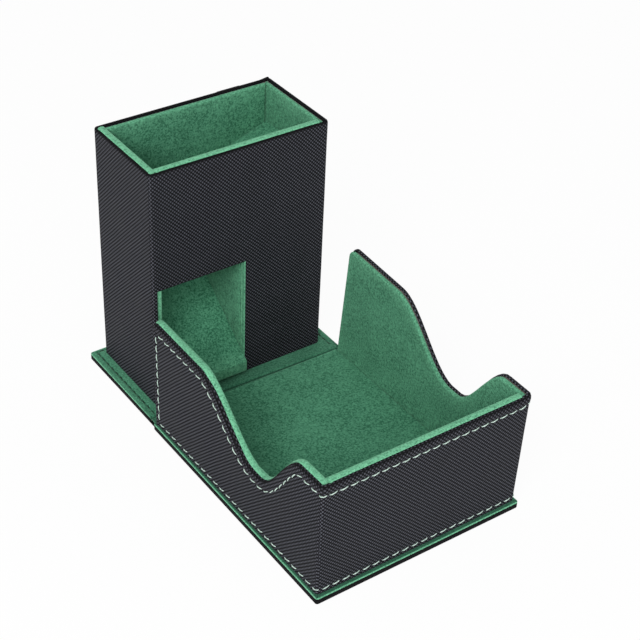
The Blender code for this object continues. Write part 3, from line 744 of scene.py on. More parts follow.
def sew(name, places, facings, stitch, thread, body, node):
    """Makes a row of stitches of one thread, and fixes it to a body."""
    row = make(name, stitch_row(places, facings, **stitch), thread)
    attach(row, body)
    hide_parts(node)


seam_top = lining_high.z - SEAM_DEPTH * STITCH_SUNK
seam_corners = rounded(
    [
        (-seam_half, hinge_rear + SEAM_END, 0),
        (-seam_half, seam_back, SEAM_CORNER),
        (seam_half, seam_back, SEAM_CORNER),
        (seam_half, hinge_rear + SEAM_END, 0),
    ]
)
seam_path = [(x, y, seam_top) for x, y in seam_corners]
seam_facings = [(0, 0, 1)] * len(seam_path)
sew(
    "border_stitches",
    seam_path,
    seam_facings,
    SEAM_STITCH,
    green_thread,
    "tower",
    "rear_border_thread",
)


# Tower wrap. One sheet of leatherette goes once round the four tower boards and laps over itself on
# the back. It is turned over their top edge, and its cut edges are folded in at the exit opening.
WRAP_CORNER = 0.0019
WRAP_TOP_ROUND = 0.0011
WRAP_SPACING = 0.0042
WRAP_FOOT = 0.02
WRAP_BELOW_LIP = (0.004, 0.002)
TUCKED_LIP = ((0.0004, 0), (0.0001, 0.0002), (0.00005, 0.0013))
FAR_LIP_RAISE = 0.0008
NEAR_LIP_RAISE = 0.0001
RAISE_ZONE = 0.003
RAISE_SPREAD = 0.5
PARTLY = 0.5
PRESSED_RIM = 0.0009
PRESSED_FULLY = 0.0003
CORNER_TIP = 0.0006
CORNER_TIP_ZONE = (0.005, 0.001)
CORNER_SKIN = 0.0002
ROUNDED_SKIN = SKIN * 0.1
JAMB_COVER = 0.0006
EXIT_TOP = 0.0688
EXIT_CLEAR = 0.0003
LAP_WIDTH = 0.0120
LAP_RISE = 0.00035
LAP_INNER = 0.9
LAP_PLACE = 0.0300
LAP_STEP = (0.0006, 0.0004, -0.0002)
WRAP_WAVE = 0.00012
WRAP_WAVE_SIZE = 0.035
ARC_STEPS = 6
FOLD_IN = 0.00175
FOLD_SKIN = 0.00016
SIDE_NAP_HIGHLIGHT = 0.7
SIDE_NAP_HIGHLIGHT_ZONE = (0.0012, 0.0002)
ON_LINE = 1e-6
EXACT = 1e-7

tower_low, tower_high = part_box("tower_cover")
lip = tower_high.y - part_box("tower_back_lining")[1].y
exit_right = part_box("partition_lining")[0].x
exit_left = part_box("tower_left_lining")[0].x + JAMB_COVER


def path_along(corners, radius, spacing, stops=()):
    """Stations along a run of straight walls with rounded corners between them."""
    stations = []
    for index in range(len(corners) - 1):
        start, end = (np.array(corner, float) for corner in corners[index : index + 2])
        length = np.linalg.norm(end - start)
        ahead = (end - start) / length
        outward = np.array((ahead[1], -ahead[0]))
        near = radius if index else 0.0
        far = length - (radius if index < len(corners) - 2 else 0.0)
        marks = [near, *steps_between(near, far, spacing), far]
        offsets = [np.array(stop) - start for stop in stops]
        marks += [offset @ ahead for offset in offsets if abs(offset @ outward) < ON_LINE]
        for distance in sorted({round(place, 7) for place in marks if near <= place <= far}):
            stations.append((start + ahead * distance, outward))
        if index < len(corners) - 2:
            following = np.array(corners[index + 2], float) - end
            following /= np.linalg.norm(following)
            next_outward = np.array((following[1], -following[0]))
            centre = end - ahead * radius + following * radius
            for step in range(1, ARC_STEPS):
                turn = math.pi / 2 * step / ARC_STEPS
                facing = outward * math.cos(turn) + next_outward * math.sin(turn)
                stations.append((centre + facing * radius, facing))
    return stations


def sheet_solid(outside, inside, is_kept=lambda column, row: True):
    """A sheet of real thickness between two grids of points, cut to the cells that are kept."""
    shape = bmesh.new()
    corners = {}

    def corner(side, column, row):
        key = (side, column, row)
        if key not in corners:
            corners[key] = shape.verts.new((outside, inside)[side][column][row])
        return corners[key]

    cells = [
        [(column, row), (column + 1, row), (column + 1, row + 1), (column, row + 1)]
        for column in range(len(outside) - 1)
        for row in range(len(outside[0]) - 1)
        if is_kept(column, row)
    ]
    runs = {(cell[index], cell[(index + 1) % 4]) for cell in cells for index in range(4)}
    for cell in cells:
        shape.faces.new([corner(0, *place) for place in cell])
        shape.faces.new([corner(1, *place) for place in reversed(cell)])
    for start, end in runs:
        if (end, start) not in runs:
            edge = ((0, end), (0, start), (1, start), (1, end))
            shape.faces.new([corner(side, *place) for side, place in edge])
    return shape


def wave(point, size, depth):
    """A slow unevenness of a surface, the same on every run."""
    return depth * noise.noise(Vector(point) / size)


half_width = tower_high.x
tower_corners = [
    (LAP_PLACE, tower_high.y),
    (-half_width, tower_high.y),
    (-half_width, 0),
    (half_width, 0),
    (half_width, tower_high.y),
    (LAP_PLACE - LAP_WIDTH, tower_high.y),
]
tower_stops = [
    (exit_left, 0),
    (exit_right + EXIT_CLEAR, 0),
    (LAP_PLACE + LAP_STEP[0], tower_high.y),
    (LAP_PLACE + LAP_STEP[2], tower_high.y),
]
tower_stations = path_along(tower_corners, WRAP_CORNER, WRAP_SPACING, tower_stops)

# Rows of the wrap: depth from the outer face and height, from the foot up and over the lip
exit_row_top = EXIT_TOP + EXIT_CLEAR
below_lip, near_lip = (tower_high.z - drop for drop in WRAP_BELOW_LIP)
heights = [tower_low.z, *steps_between(tower_low.z, exit_row_top, CUT_SPACING), exit_row_top]
heights += [*steps_between(exit_row_top, below_lip, CUT_SPACING), below_lip, near_lip]
wrap_rows = [(0, height) for height in heights] + rounded_top(tower_high.z, WRAP_TOP_ROUND)
wrap_rows += [(lip - short, tower_high.z - drop) for short, drop in TUCKED_LIP]


def skin_below(depth, height, top):
    """The inner side of a skin whose outer side lies at a depth and height."""
    if height < top - WRAP_TOP_ROUND:
        return SKIN, height
    inner_depth = min(max(depth, SKIN) + (ROUNDED_SKIN if depth < SKIN else 0), depth + SKIN)
    return inner_depth, min(height, top - SKIN)


outside, inside = [], []
last = len(tower_stations) - 1
for number, (place, outward) in enumerate(tower_stations):
    in_second_half = number > last // 2 and place[1] > tower_high.y - ON_LINE
    lap = LAP_RISE if in_second_half and place[0] < LAP_PLACE + LAP_STEP[1] else 0
    in_corner = abs(outward[0] * outward[1]) > ON_LINE
    outer_column, inner_column = [], []
    lip_raise = FAR_LIP_RAISE if max(outward) > PARTLY else NEAR_LIP_RAISE
    if outward[1] > PARTLY:
        tip_from, tip_to = (half_width - near for near in CORNER_TIP_ZONE)
        lip_raise += CORNER_TIP * smooth(tip_from, tip_to, place[0])
    for depth, height in wrap_rows:
        swell = wave((*place, height), WRAP_WAVE_SIZE, WRAP_WAVE)
        swell *= smooth(tower_low.z, WRAP_FOOT, height)
        outer = place - outward * (depth - (lap + (swell if depth == 0 else 0)))
        level = height + depth * RAISE_SPREAD
        raised = lip_raise * smooth(tower_high.z - RAISE_ZONE, tower_high.z, level)
        outer_column.append((*outer, height + raised))
        inner_depth, inner_height = skin_below(depth, height, tower_high.z)
        if depth == 0:
            inner_depth = CORNER_SKIN if in_corner else SKIN
        inner = place - outward * (inner_depth - lap * LAP_INNER)
        inner_column.append((*inner, inner_height + raised))
    outside.append(outer_column)
    inside.append(inner_column)


def in_wrap(column, row):
    """Leaves out the cells of the exit opening."""
    place, outward = tower_stations[column]
    following = tower_stations[min(column + 1, last)][0]
    in_front = outward[1] < -MOSTLY and following[1] < EXACT
    beside = place[0] < exit_left - EXACT or following[0] > exit_right + EXIT_CLEAR + EXACT
    return not (in_front and not beside and wrap_rows[row + 1][1] <= exit_row_top + EXACT)


tower_wrap = make("tower_wrap", sheet_solid(outside, inside, in_wrap), leatherette)
pressed_from, pressed_to = tower_high.z - PRESSED_RIM, tower_high.z - PRESSED_FULLY
mark(tower_wrap, "pressed_edge", lambda point: smooth(pressed_from, pressed_to, point.z))
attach(tower_wrap, "tower")
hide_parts("tower_cover")

# The folded edges: leatherette along the top of the opening, and suede up its right side
fold_section = [
    (0.0003, 0.0),
    (0.00008, 0.00002),
    (-0.00008, 0.00012),
    (-FOLD_SKIN, 0.00032),
    (-FOLD_SKIN, FOLD_IN),
    (-0.00002, FOLD_IN),
    (-0.00002, SKIN),
    (0.0003, SKIN),
]


def folded_edge(name, start, end, outward, material):
    """A strip folded round a raw edge of the opening, from one point to another in X and Z."""
    fold = bmesh.new()
    loops = [
        [fold.verts.new((x + a * outward[0], b, z + a * outward[1])) for a, b in fold_section]
        for x, z in (start, end)
    ]
    join_loops(fold, loops)
    strip = make(name, fold, material)
    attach(strip, "tower")
    return strip


exit_corner = (exit_right, EXIT_TOP)
folded_edge(
    "exit_top_fold", exit_corner, (exit_left, EXIT_TOP), (0, 1), leatherette
)
exit_side_suede = folded_edge(
    "exit_side_suede", (exit_right, tower_low.z), exit_corner, (1, 0), suede
)
# Raised nap and painted highlight on the fold at the front of the opening's side
mark(exit_side_suede, "raised_nap_and_highlight", lambda point: SIDE_NAP_HIGHLIGHT * smooth(*SIDE_NAP_HIGHLIGHT_ZONE, point.y))


# Tower linings. Four thin boards, each in its own suede folded over the top, stand inside the
# walls. The left one reaches forward beside the exit opening and covers the wall's raw edge.
LINING_ROUND = 0.00085
LINING_ZONE = 0.0024
LINING_FLAT = 1.5
LINING_SPACING = 0.008
LINING_FOOT = 0.0003
LINING_TOP = 0.0005
LINING_NOTCH = 0.0004
NEAR_RISE = 0.0009
FAR_RISE = -0.0002
LINING_PUFF = 0.00025
PUFF_SIZE = 0.028
PUFF_SHARE = 0.5
OVERHANG = 0.00075
INNER_BULGE = 0.00050
HANG_ZONE = (0.00005, 0.0003)
BULGE_DEPTH = 0.0030
# Raised nap and painted highlight at folded edges, and painted light on the upper inner face of far
# walls
NEAR_NAP_HIGHLIGHT_ZONE = (-0.0018, -0.0004)
LIP_NAP_HIGHLIGHT = 0.9
LIP_NAP_HIGHLIGHT_WIDTH = (0.0009, 0.0003)
LIP_NAP_HIGHLIGHT_DEPTH = (-0.0010, -0.0004)
FACE_PAINTED_LIGHT = 0.4
FACE_PAINTED_LIGHT_DEPTH = 0.0050
EXIT_NAP_HIGHLIGHT = 0.8
EXIT_NAP_HIGHLIGHT_ZONE = (0.0010, 0.0002)
JAMB_ZONE = (0.0004, 0.0002)
JAMB_BULGE = 0.0014
JAMB_FOOT = (0.012, 0.018)


def fit_lining(piece, node, nap_and_highlight, body="tower", placed=None):
    """Marks where a lining's nap stands up with a painted highlight, and puts it in its node's
    place on a body.
    """
    mark(piece, "raised_nap_and_highlight", nap_and_highlight)
    if placed:
        for corner in piece.data.vertices:
            corner.co = placed(corner.co)
    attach(piece, body)
    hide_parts(node)


def lined_board(node, outline, axis, low, high, above, nap_and_highlight, outer=0, body="tower", placed=None):
    """A thin board in suede: an outline with some thickness and softly rounded edges.

    Above tells how far a point lies above the leatherette's lip. There the suede hangs over the lip
    on its outer side, which is the low side for -1 and the high side for 1, and bulges inwards.
    """
    radius = min(LINING_ROUND, (high - low) / 2 - FINE)
    rings = [(LINING_ZONE, low), (radius * LINING_FLAT, low)]
    rings += rounded_rings(low, high, radius, radius)
    rings += [(radius * LINING_FLAT, high), (LINING_ZONE, high)]
    shape = ring_solid(np.asarray(outline, float), rings, axis)
    cut_evenly(shape, "xyz".replace(axis, ""), LINING_SPACING)
    middle = (low + high) / 2
    along = "xyz".index(axis)
    for corner in shape.verts:
        bulge = wave(corner.co, PUFF_SIZE, LINING_PUFF)
        share = (corner.co[along] - middle) / (high - middle)
        corner.co[along] += bulge * share * PUFF_SHARE
        height = above(corner.co)
        if outer and share * outer > 0:
            corner.co[along] += OVERHANG * share * smooth(*HANG_ZONE, height)
        elif outer:
            corner.co[along] += INNER_BULGE * share * smooth(-BULGE_DEPTH, 0, height)
    piece = make(node.replace("lining", "suede"), shape, suede)
    fit_lining(piece, node, nap_and_highlight, body, placed)


def near_nap_highlight(height):
    """The nap stands up where the suede is folded over a near edge, with a painted highlight."""
    return smooth(*NEAR_NAP_HIGHLIGHT_ZONE, height)


def far_nap_highlight(height, from_outside):
    """On a far edge the nap stands up beside the lip with a painted highlight, and painted light
    fades down the inner face.
    """
    beside_lip = smooth(*LIP_NAP_HIGHLIGHT_WIDTH, from_outside) * smooth(*LIP_NAP_HIGHLIGHT_DEPTH, height)
    return max(LIP_NAP_HIGHLIGHT * beside_lip, FACE_PAINTED_LIGHT * smooth(-FACE_PAINTED_LIGHT_DEPTH, 0, height))


def upright_outline(low_first, high_first, low_z, high_z):
    corners = [(low_first, low_z, LINING_FOOT), (high_first, low_z, LINING_FOOT)]
    corners += [(high_first, high_z, LINING_TOP), (low_first, high_z, LINING_TOP)]
    return rounded(corners, 3)


def above_tower(point):
    return point.z - tower_high.z


for node, axis in (("tower_back_lining", "y"), ("tower_right_lining", "x")):
    low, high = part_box(node)
    first, depth = "yx".index(axis), "xyz".index(axis)
    outline = upright_outline(low[first], high[first], low.z, tower_high.z + FAR_RISE)

    # Raised nap and painted highlight beside the lip, and painted light down the inner face
    def inner_nap_highlight(point):
        return far_nap_highlight(above_tower(point) - FAR_RISE, high[depth] - point[depth])

    lined_board(node, outline, axis, low[depth], high[depth], above_tower, inner_nap_highlight)

lining_top = tower_high.z + NEAR_RISE
low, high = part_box("tower_front_lining")
wall_front = low.y
tower_front_outline = rounded(
    [
        (exit_right, low.z, LINING_FOOT),
        (high.x, low.z, LINING_FOOT),
        (high.x, lining_top, LINING_TOP),
        (low.x, lining_top, LINING_TOP),
        (low.x, EXIT_TOP, LINING_FOOT),
        (exit_right, EXIT_TOP, LINING_NOTCH),
    ],
    3,
)


def front_nap_highlight(point):
    """Raised nap and a painted highlight at the top edge and round the exit opening."""
    beside = smooth(*EXIT_NAP_HIGHLIGHT_ZONE, point.x - exit_right) * float(point.z < EXIT_TOP)
    above = smooth(*EXIT_NAP_HIGHLIGHT_ZONE, point.z - EXIT_TOP) * float(point.x < exit_right)
    return max(near_nap_highlight(above_tower(point)), EXIT_NAP_HIGHLIGHT * beside, EXIT_NAP_HIGHLIGHT * above)


lined_board(
    "tower_front_lining",
    tower_front_outline,
    "y",
    low.y,
    high.y,
    above_tower,
    front_nap_highlight,
    outer=-1,
)

low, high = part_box("tower_left_lining")
notch_top = EXIT_TOP - LINING_NOTCH
left_outline = rounded(
    [
        (low.y, low.z, LINING_FOOT),
        (high.y, low.z, LINING_FOOT),
        (high.y, lining_top, LINING_TOP),
        (wall_front, lining_top, LINING_TOP),
        (wall_front, notch_top, 0),
        (low.y, notch_top, LINING_NOTCH),
    ],
    3,
)


def in_jamb(point):
    """1 at the front of the part that reaches forward beside the opening."""
    share = smooth(wall_front + JAMB_ZONE[0], low.y + JAMB_ZONE[1], point.y)
    return share * float(point.z < EXIT_TOP)


# Raised nap and painted highlight at the top edge and over the jamb beside the opening
def left_nap_highlight(point):
    return max(near_nap_highlight(above_tower(point)), in_jamb(point))


def bulged_jamb(point):
    """The suede is folded thickly round the wall beside the opening."""
    is_inside = point.x > (low.x + high.x) / 2
    bulge = (JAMB_BULGE if is_inside else JAMB_COVER + FINE) * smooth(*JAMB_FOOT, point.z)
    return point + Vector((bulge * in_jamb(point), 0, 0))


lined_board(
    "tower_left_lining",
    left_outline,
    "x",
    low.x,
    high.x,
    above_tower,
    left_nap_highlight,
    outer=-1,
    placed=bulged_jamb,
)


# Baffle, partition and ramp. Boards in suede inside the tower. The baffle slopes down from the
# right wall, and the ramp below it slopes down to the exit opening. The ramp's suede is folded
# round its tip.
INNER_ROUND = 0.0003
RAMP_TIP_ROUND = 0.0011
RAMP_UNDER_ROUND = RAMP_TIP_ROUND * 0.7
RAMP_RETURN = 0.0060
RAMP_CLEAR = 0.0002
RAMP_SKIN = 0.0009
RAMP_NAP_HIGHLIGHT = 0.35
RAMP_NAP_HIGHLIGHT_ZONE = (0.0022, 0.0004)
BAFFLE_TIP_ROUND = 0.0010
BAFFLE_UNDER_ROUND = 0.0006
BAFFLE_NAP_HIGHLIGHT = 0.5
BAFFLE_NAP_HIGHLIGHT_ZONE = (0.0016, 0.0003)
PARTITION_NAP_HIGHLIGHT = 0.3
PARTITION_NAP_HIGHLIGHT_ZONE = (0.0010, 0.0002)


def sloped(low_point, high_point):
    """Unit vector up a slope and its normal."""
    along = np.array(high_point) - np.array(low_point)
    along /= np.linalg.norm(along)
    return along, np.array((-along[1], along[0]))


def corners_of(node_name):
    return [corner.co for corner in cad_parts[node_name].data.vertices]


def surface_of(node_name, first, second):
    """Lowest and highest corner of a node's top surface, in two of its coordinates."""
    corners = corners_of(node_name)
    places = sorted({(round(corner[first], 6), round(corner[second], 6)) for corner in corners})
    start, end = places[0][0], places[-1][0]
    return (
        (start, max(place[1] for place in places if place[0] == start)),
        (end, max(place[1] for place in places if place[0] == end)),
    )


tip, ramp_back = surface_of("ramp_lining", 1, 2)
up_ramp, off_ramp = sloped(tip, ramp_back)
board_tip, _ = surface_of("ramp_board", 1, 2)
lining_depth = (np.array(tip) - np.array(board_tip)) @ off_ramp - RAMP_CLEAR
board_foot = min((corner.z, corner.y) for corner in corners_of("ramp_board"))
under = np.array((board_foot[1], board_foot[0])) - off_ramp * RAMP_CLEAR
under_outer = under - off_ramp * RAMP_SKIN
ramp_front = tip[0]
tip_bottom = under_outer - up_ramp * ((under_outer[0] - ramp_front) / up_ramp[0])
inner_top = np.array(board_tip) + off_ramp * RAMP_CLEAR - up_ramp * RAMP_CLEAR / up_ramp[0]
ramp_outline = rounded(
    [
        (*tip, RAMP_TIP_ROUND),
        (*tip_bottom, RAMP_UNDER_ROUND),
        (*(under_outer + up_ramp * RAMP_RETURN), RAMP_CLEAR),
        (*(under + up_ramp * RAMP_RETURN), RAMP_CLEAR),
        (*(under - up_ramp * RAMP_CLEAR), 0),
        (*inner_top, 0),
        (*(np.array(ramp_back) - off_ramp * lining_depth), 0),
        (*ramp_back, LINING_FOOT),
    ],
    steps=6,
)


def inner_board(node, outline, axis, nap_and_highlight):
    """A board in suede, drawn out between two walls, with slightly rounded ends."""
    low, high = (corner["xyz".index(axis)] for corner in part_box(node))
    shape = ring_solid(outline, rounded_rings(low, high, INNER_ROUND, INNER_ROUND, 3), axis)
    cut_across(shape, axis, steps_between(low, high, CUT_SPACING))
    cut_evenly(shape, "xyz".replace(axis, ""))
    fit_lining(make(node.replace("lining", "suede"), shape, suede), node, nap_and_highlight)


# The nap is raised a little, with a painted highlight, where the suede bends over the ramp's tip
inner_board(
    "ramp_lining",
    ramp_outline,
    "x",
    lambda point: RAMP_NAP_HIGHLIGHT * smooth(*RAMP_NAP_HIGHLIGHT_ZONE, point.y - ramp_front),
)


def heights_at(node_name, place):
    """A node's lowest and highest points at a place across the tower."""
    heights = [corner.z for corner in corners_of(node_name) if abs(corner.x - place) < ON_LINE]
    return round(min(heights), 6), round(max(heights), 6)


end_x, wall_x = (corner.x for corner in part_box("baffle_lining"))
turn_x = sorted({round(corner.x, 6) for corner in corners_of("baffle_lining")})[1]
end_z, turn_z, wall_z = (heights_at("baffle_lining", place) for place in (end_x, turn_x, wall_x))
baffle_outline = rounded(
    [
        (end_x, end_z[1], BAFFLE_TIP_ROUND),
        (end_x, end_z[0], BAFFLE_UNDER_ROUND),
        (turn_x, turn_z[0], 0),
        (turn_x, turn_z[1], 0),
        (wall_x, wall_z[0], 0),
        (wall_x, wall_z[1], 0),
    ]
)
# Raised nap and painted highlight round the baffle's free end
inner_board(
    "baffle_lining",
    baffle_outline,
    "y",
    lambda point: BAFFLE_NAP_HIGHLIGHT * smooth(*BAFFLE_NAP_HIGHLIGHT_ZONE, point.x - end_x),
)

part_low, part_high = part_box("partition_lining")
partition_outline = np.array(
    [
        (part_low.x, part_low.z),
        (part_high.x, part_low.z),
        (part_high.x, part_high.z),
        (part_low.x, heights_at("partition_lining", part_low.x)[1]),
    ]
)
# Raised nap and painted highlight along the partition's front edge
inner_board(
    "partition_lining",
    partition_outline,
    "y",
    lambda point: PARTITION_NAP_HIGHLIGHT * smooth(*PARTITION_NAP_HIGHLIGHT_ZONE, point.y - part_low.y),
)


# Tray wrap. One sheet of leatherette covers the outside of the tray's left, front and right boards.
# It is turned over their swept rim and over their rear ends, and held by a row of stitches.
RIM_HEIGHT = 0.0655
RIM_LEVEL = 0.0642
FRONT_SHOULDER = 0.0160
FRONT_SWEEP = 0.0280
DIP_FLOOR = 0.0045
REAR_SWEEP = 0.0430
DIP_DEPTH = 0.0285
REAR_ROUND = 0.0035
REAR_LEAN = 0.0028
SIDE_LEAN = 0.0005
SIDE_SPLAY = 0.0019
FRONT_LEAN = 0.0012
LEAN_START = 0.0036
RIM_ROUND = 0.0006
RIM_SEAM = 0.0048
END_SEAM = 0.0032
FOOT_SEAM = 0.0026
RIGHT_SHOULDER = 0.0148
RIGHT_LIP_RAISE = 0.0012
RIM_PUFF = 0.00040
PUFF_SHAPE = 0.8
SEAM_PULL = 0.00025
SEAM_PULL_WIDTH = 0.0009
SEAM_INSETS = (0.0056, 0.0052, RIM_SEAM, 0.0044, 0.0036, 0.0024, 0.0013)
TRAY_WAVE = 0.00010
TRAY_HALF = 0.0540
TRAY_SPACING = 0.0024
REAR_STEPS = 15
WALL_ROWS = 12
CORNER_GAP = 0.001
FOOT_SPREAD = 0.012
FOOT_BLEND = 0.040
TURNED_SKIN = SKIN * 0.8
LIP_GAIN = 0.3
TRAY_FRONT = -0.1434
NARROW_ZONE = (-0.012, 0.010)
RAISED_FRONT = (0.006, -0.002)
RAISED_FROM = 0.02
RIM_TUCK = ((0.0005, 0), (0.0001, 0.00012), (0.00005, SKIN + FINE))
PRESSED_BAND = (0.0002, 0.0010)

floor_low, floor_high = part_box("tray_floor_board")
tray_rear = floor_high.y
tray_foot = floor_low.z
rear_corner_y = tray_rear - REAR_LEAN - REAR_ROUND
rear_top = RIM_HEIGHT - REAR_ROUND
straight_end = REAR_LEAN + REAR_ROUND


def lean(point):
    """Leans the tray's walls outwards: not at the foot, fully at the rim, most at the rear."""
    x, y, z = point
    height_share = (z - LEAN_START) / (RIM_HEIGHT - LEAN_START)
    length_share = (tray_rear - y) / (tray_rear - TRAY_FRONT)
    side_lean = SIDE_LEAN + SIDE_SPLAY * (1 - length_share)
    return (
        x * (1 + side_lean / TRAY_HALF * height_share),
        y - FRONT_LEAN * height_share * length_share,
        z,
    )


def rim_height(distance, shoulder=FRONT_SHOULDER):
    """Height of the side walls' rim at a distance behind the front wall's outer face."""
    dip_start = shoulder + FRONT_SWEEP
    dip_end = FRONT_SHOULDER + FRONT_SWEEP + DIP_FLOOR
    sweep_end = dip_end + REAR_SWEEP
    if distance > sweep_end:
        share = (distance - sweep_end) / (rear_corner_y - TRAY_FRONT - sweep_end)
        return RIM_LEVEL + (RIM_HEIGHT - RIM_LEVEL) * share
    if distance < dip_start:
        share = min(1, (dip_start - distance) / FRONT_SWEEP)
    else:
        share = max(0, (distance - dip_end) / REAR_SWEEP)
    return RIM_LEVEL - DIP_DEPTH * (1 - smooth(0, 1, share))


# Stations round the tray's outer face, from its left rear end to its right rear end
tray_corners = [(-TRAY_HALF, tray_rear), (-TRAY_HALF, TRAY_FRONT)]
tray_corners += [(-x, y) for x, y in reversed(tray_corners)]
tray_stations = path_along(tray_corners, WRAP_CORNER, TRAY_SPACING)
station_places = np.array([place for place, outward in tray_stations])
station_facings = np.array([outward for place, outward in tray_stations])
station_run = run_along(station_places)
total_run = station_run[-1]


def on_tray(run, height, depth):
    """The tray's point at a run along its outer face, a height, and a depth below that face."""
    place, facing = (
        read_at(run, station_run, table) for table in (station_places, station_facings)
    )
    facing /= np.linalg.norm(facing)
    return lean((*(place - facing * depth), height))


def rear_slope(steps):
    """Up the leaning rear end, in distance from the foot's rear corner and height."""
    shares = np.linspace(0, 1, steps)
    return [(REAR_LEAN * share, tray_foot + (rear_top - tray_foot) * share) for share in shares]


def rim_half(shoulder, lip_raise):
    """Half of the rim, unrolled: up the rear end, round its corner, along the swept edge."""
    points = rear_slope(REAR_STEPS)
    points += [
        (REAR_LEAN + REAR_ROUND * (1 - c), rear_top + REAR_ROUND * s) for c, s in quarter(6)[1:]
    ]
    for run, place in zip(station_run, station_places):
        if straight_end + CORNER_GAP < run < total_run / 2:
            points.append((run, rim_height(place[1] - TRAY_FRONT, shoulder)))
    raised = []
    for run, height in points:
        share = smooth(*RAISED_FRONT, run - (tray_rear - TRAY_FRONT))
        share *= smooth(RAISED_FROM, rear_top, height)
        raised.append((run, height + lip_raise * share))
    return np.array(raised)


rim_right = rim_half(RIGHT_SHOULDER, RIGHT_LIP_RAISE)[::-1]
rim_right[:, 0] = total_run - rim_right[:, 0]
rim_line = np.vstack([rim_half(FRONT_SHOULDER, 0), rim_right])
ahead = np.gradient(rim_line, axis=0)
ahead /= np.linalg.norm(ahead, axis=1, keepdims=True)
rim_inward = np.column_stack([ahead[:, 1], -ahead[:, 0]])
rim_inward[0] = (1, 0)
rim_inward[-1] = (-1, 0)
rim_length = run_along(rim_line)
from_ends = np.minimum(rim_length, rim_length[-1] - rim_length)
blend_length = rim_length[rim_line[:, 0] >= FOOT_BLEND][0]


def foot_run(index):
    """Where the column below a rim point meets the foot: spread out near the rear ends."""
    run = rim_line[index][0]
    foot = min(run, total_run - run)
    if from_ends[index] < blend_length:
        foot = FOOT_SPREAD + from_ends[index] * (FOOT_BLEND - FOOT_SPREAD) / blend_length
    return foot if run < total_run / 2 else total_run - foot


def rim_puff(inset_from_rim):
    """The skin swells between the rim and the seam, and is pulled in at the seam."""
    share = inset_from_rim / RIM_SEAM
    pulled = SEAM_PULL * valley(inset_from_rim - RIM_SEAM, SEAM_PULL_WIDTH)
    return (RIM_PUFF * math.sin(math.pi * share) ** PUFF_SHAPE if share < 1 else 0) - pulled


outside, inside = [], []
below_seam = np.linspace(1, 0, WALL_ROWS)[:-1]
facing_row = len(below_seam) + len(SEAM_INSETS)
for index, (rim_point, inward) in enumerate(zip(rim_line, rim_inward)):
    at_end = 1 - smooth(*NARROW_ZONE, from_ends[index] - rear_top)
    narrow = 1 - (1 - END_SEAM / RIM_SEAM) * at_end
    foot = np.array((foot_run(index), tray_foot))
    seam_side = rim_point + inward * SEAM_INSETS[0] * narrow
    rows = [(foot * share + seam_side * (1 - share), 0.0, 0.0) for share in below_seam]
    rows += [(rim_point + inward * step * narrow, 0.0, rim_puff(step)) for step in SEAM_INSETS]
    rows += [
        (rim_point + inward * RIM_ROUND * (1 - s), RIM_ROUND * (1 - c), 0.0) for c, s in quarter()
    ]
    rows += [(rim_point + inward * below, lip - short, 0.0) for short, below in RIM_TUCK]
    outer_column, inner_column = [], []
    for row, ((run, height), depth, puff) in enumerate(rows):
        swell = wave(on_tray(run, height, depth), WRAP_WAVE_SIZE, TRAY_WAVE) if depth == 0 else 0
        outer_column.append(on_tray(run, height, depth - puff - swell))
        if row < facing_row:
            inner_column.append(on_tray(run, height, TURNED_SKIN))
        else:
            under_rim = rim_point + inward * SKIN
            inner_column.append(on_tray(*under_rim, max(depth, TURNED_SKIN + depth * LIP_GAIN)))
    outside.append(outer_column)
    inside.append(inner_column)
tray_wrap = make("tray_wrap", sheet_solid(outside, inside), leatherette)
rim_places = np.array([on_tray(run, height, 0) for run, height in rim_line])


def pressed_on_tray(point):
    """The turned edge is pressed flat: on the lip, and less and less below the rim."""
    gaps = np.linalg.norm(rim_places - np.array(point), axis=1)
    return 1 - smooth(*PRESSED_BAND, gaps.min())


mark(tray_wrap, "pressed_edge", pressed_on_tray)
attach(tray_wrap, "tray")
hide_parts("tray_cover")


# Tray linings and floor pad. The swept side linings and the straight front one are thin boards in
# suede, folded over the rim. A loose-edged pad of the same suede lies on the floor between them.
RIM_RISE = 0.0009
RIGHT_RISE = 0.0005
TRAY_WALL = 0.0040
PAD_CORNER = 0.0006
PAD_FOOT = 0.0002
PAD_ROUND = 0.0005
PAD_RINGS = (0.0010, 0.0022)
PAD_PUFF = 0.0003
PAD_NAP_HIGHLIGHT = 0.25
PAD_NAP_HIGHLIGHT_ZONE = (-0.0012, -0.0002)
RIM_START = 0.0015
RIM_STOP = 0.0006
RIM_STEP = 0.0018
EDGE_STEPS = 40

lining_front = TRAY_FRONT + lip
rear_edge = [(tray_rear - distance, height) for distance, height in rear_slope(EDGE_STEPS)]


def side_rim(shoulder):
    """The rim of a side lining, from its rear corner forwards, in Y and Z."""
    points = [(rear_corner_y + REAR_ROUND * c, rear_top + REAR_ROUND * s) for c, s in quarter(6)]
    for y in np.arange(rear_corner_y - RIM_START, lining_front + RIM_STOP, -RIM_STEP):
        points.append((y, rim_height(y - TRAY_FRONT, shoulder)))
    return points


def above_line(line, point):
    """How far a point lies outside a line in Y and Z that runs up the rear and forwards."""
    outward = np.gradient(line, axis=0)[:, ::-1] * (1, -1)
    offsets = np.array((point.y, point.z)) - line
    nearest = np.hypot(offsets[:, 0], offsets[:, 1]).argmin()
    return float(offsets[nearest] @ outward[nearest] / np.linalg.norm(outward[nearest]))


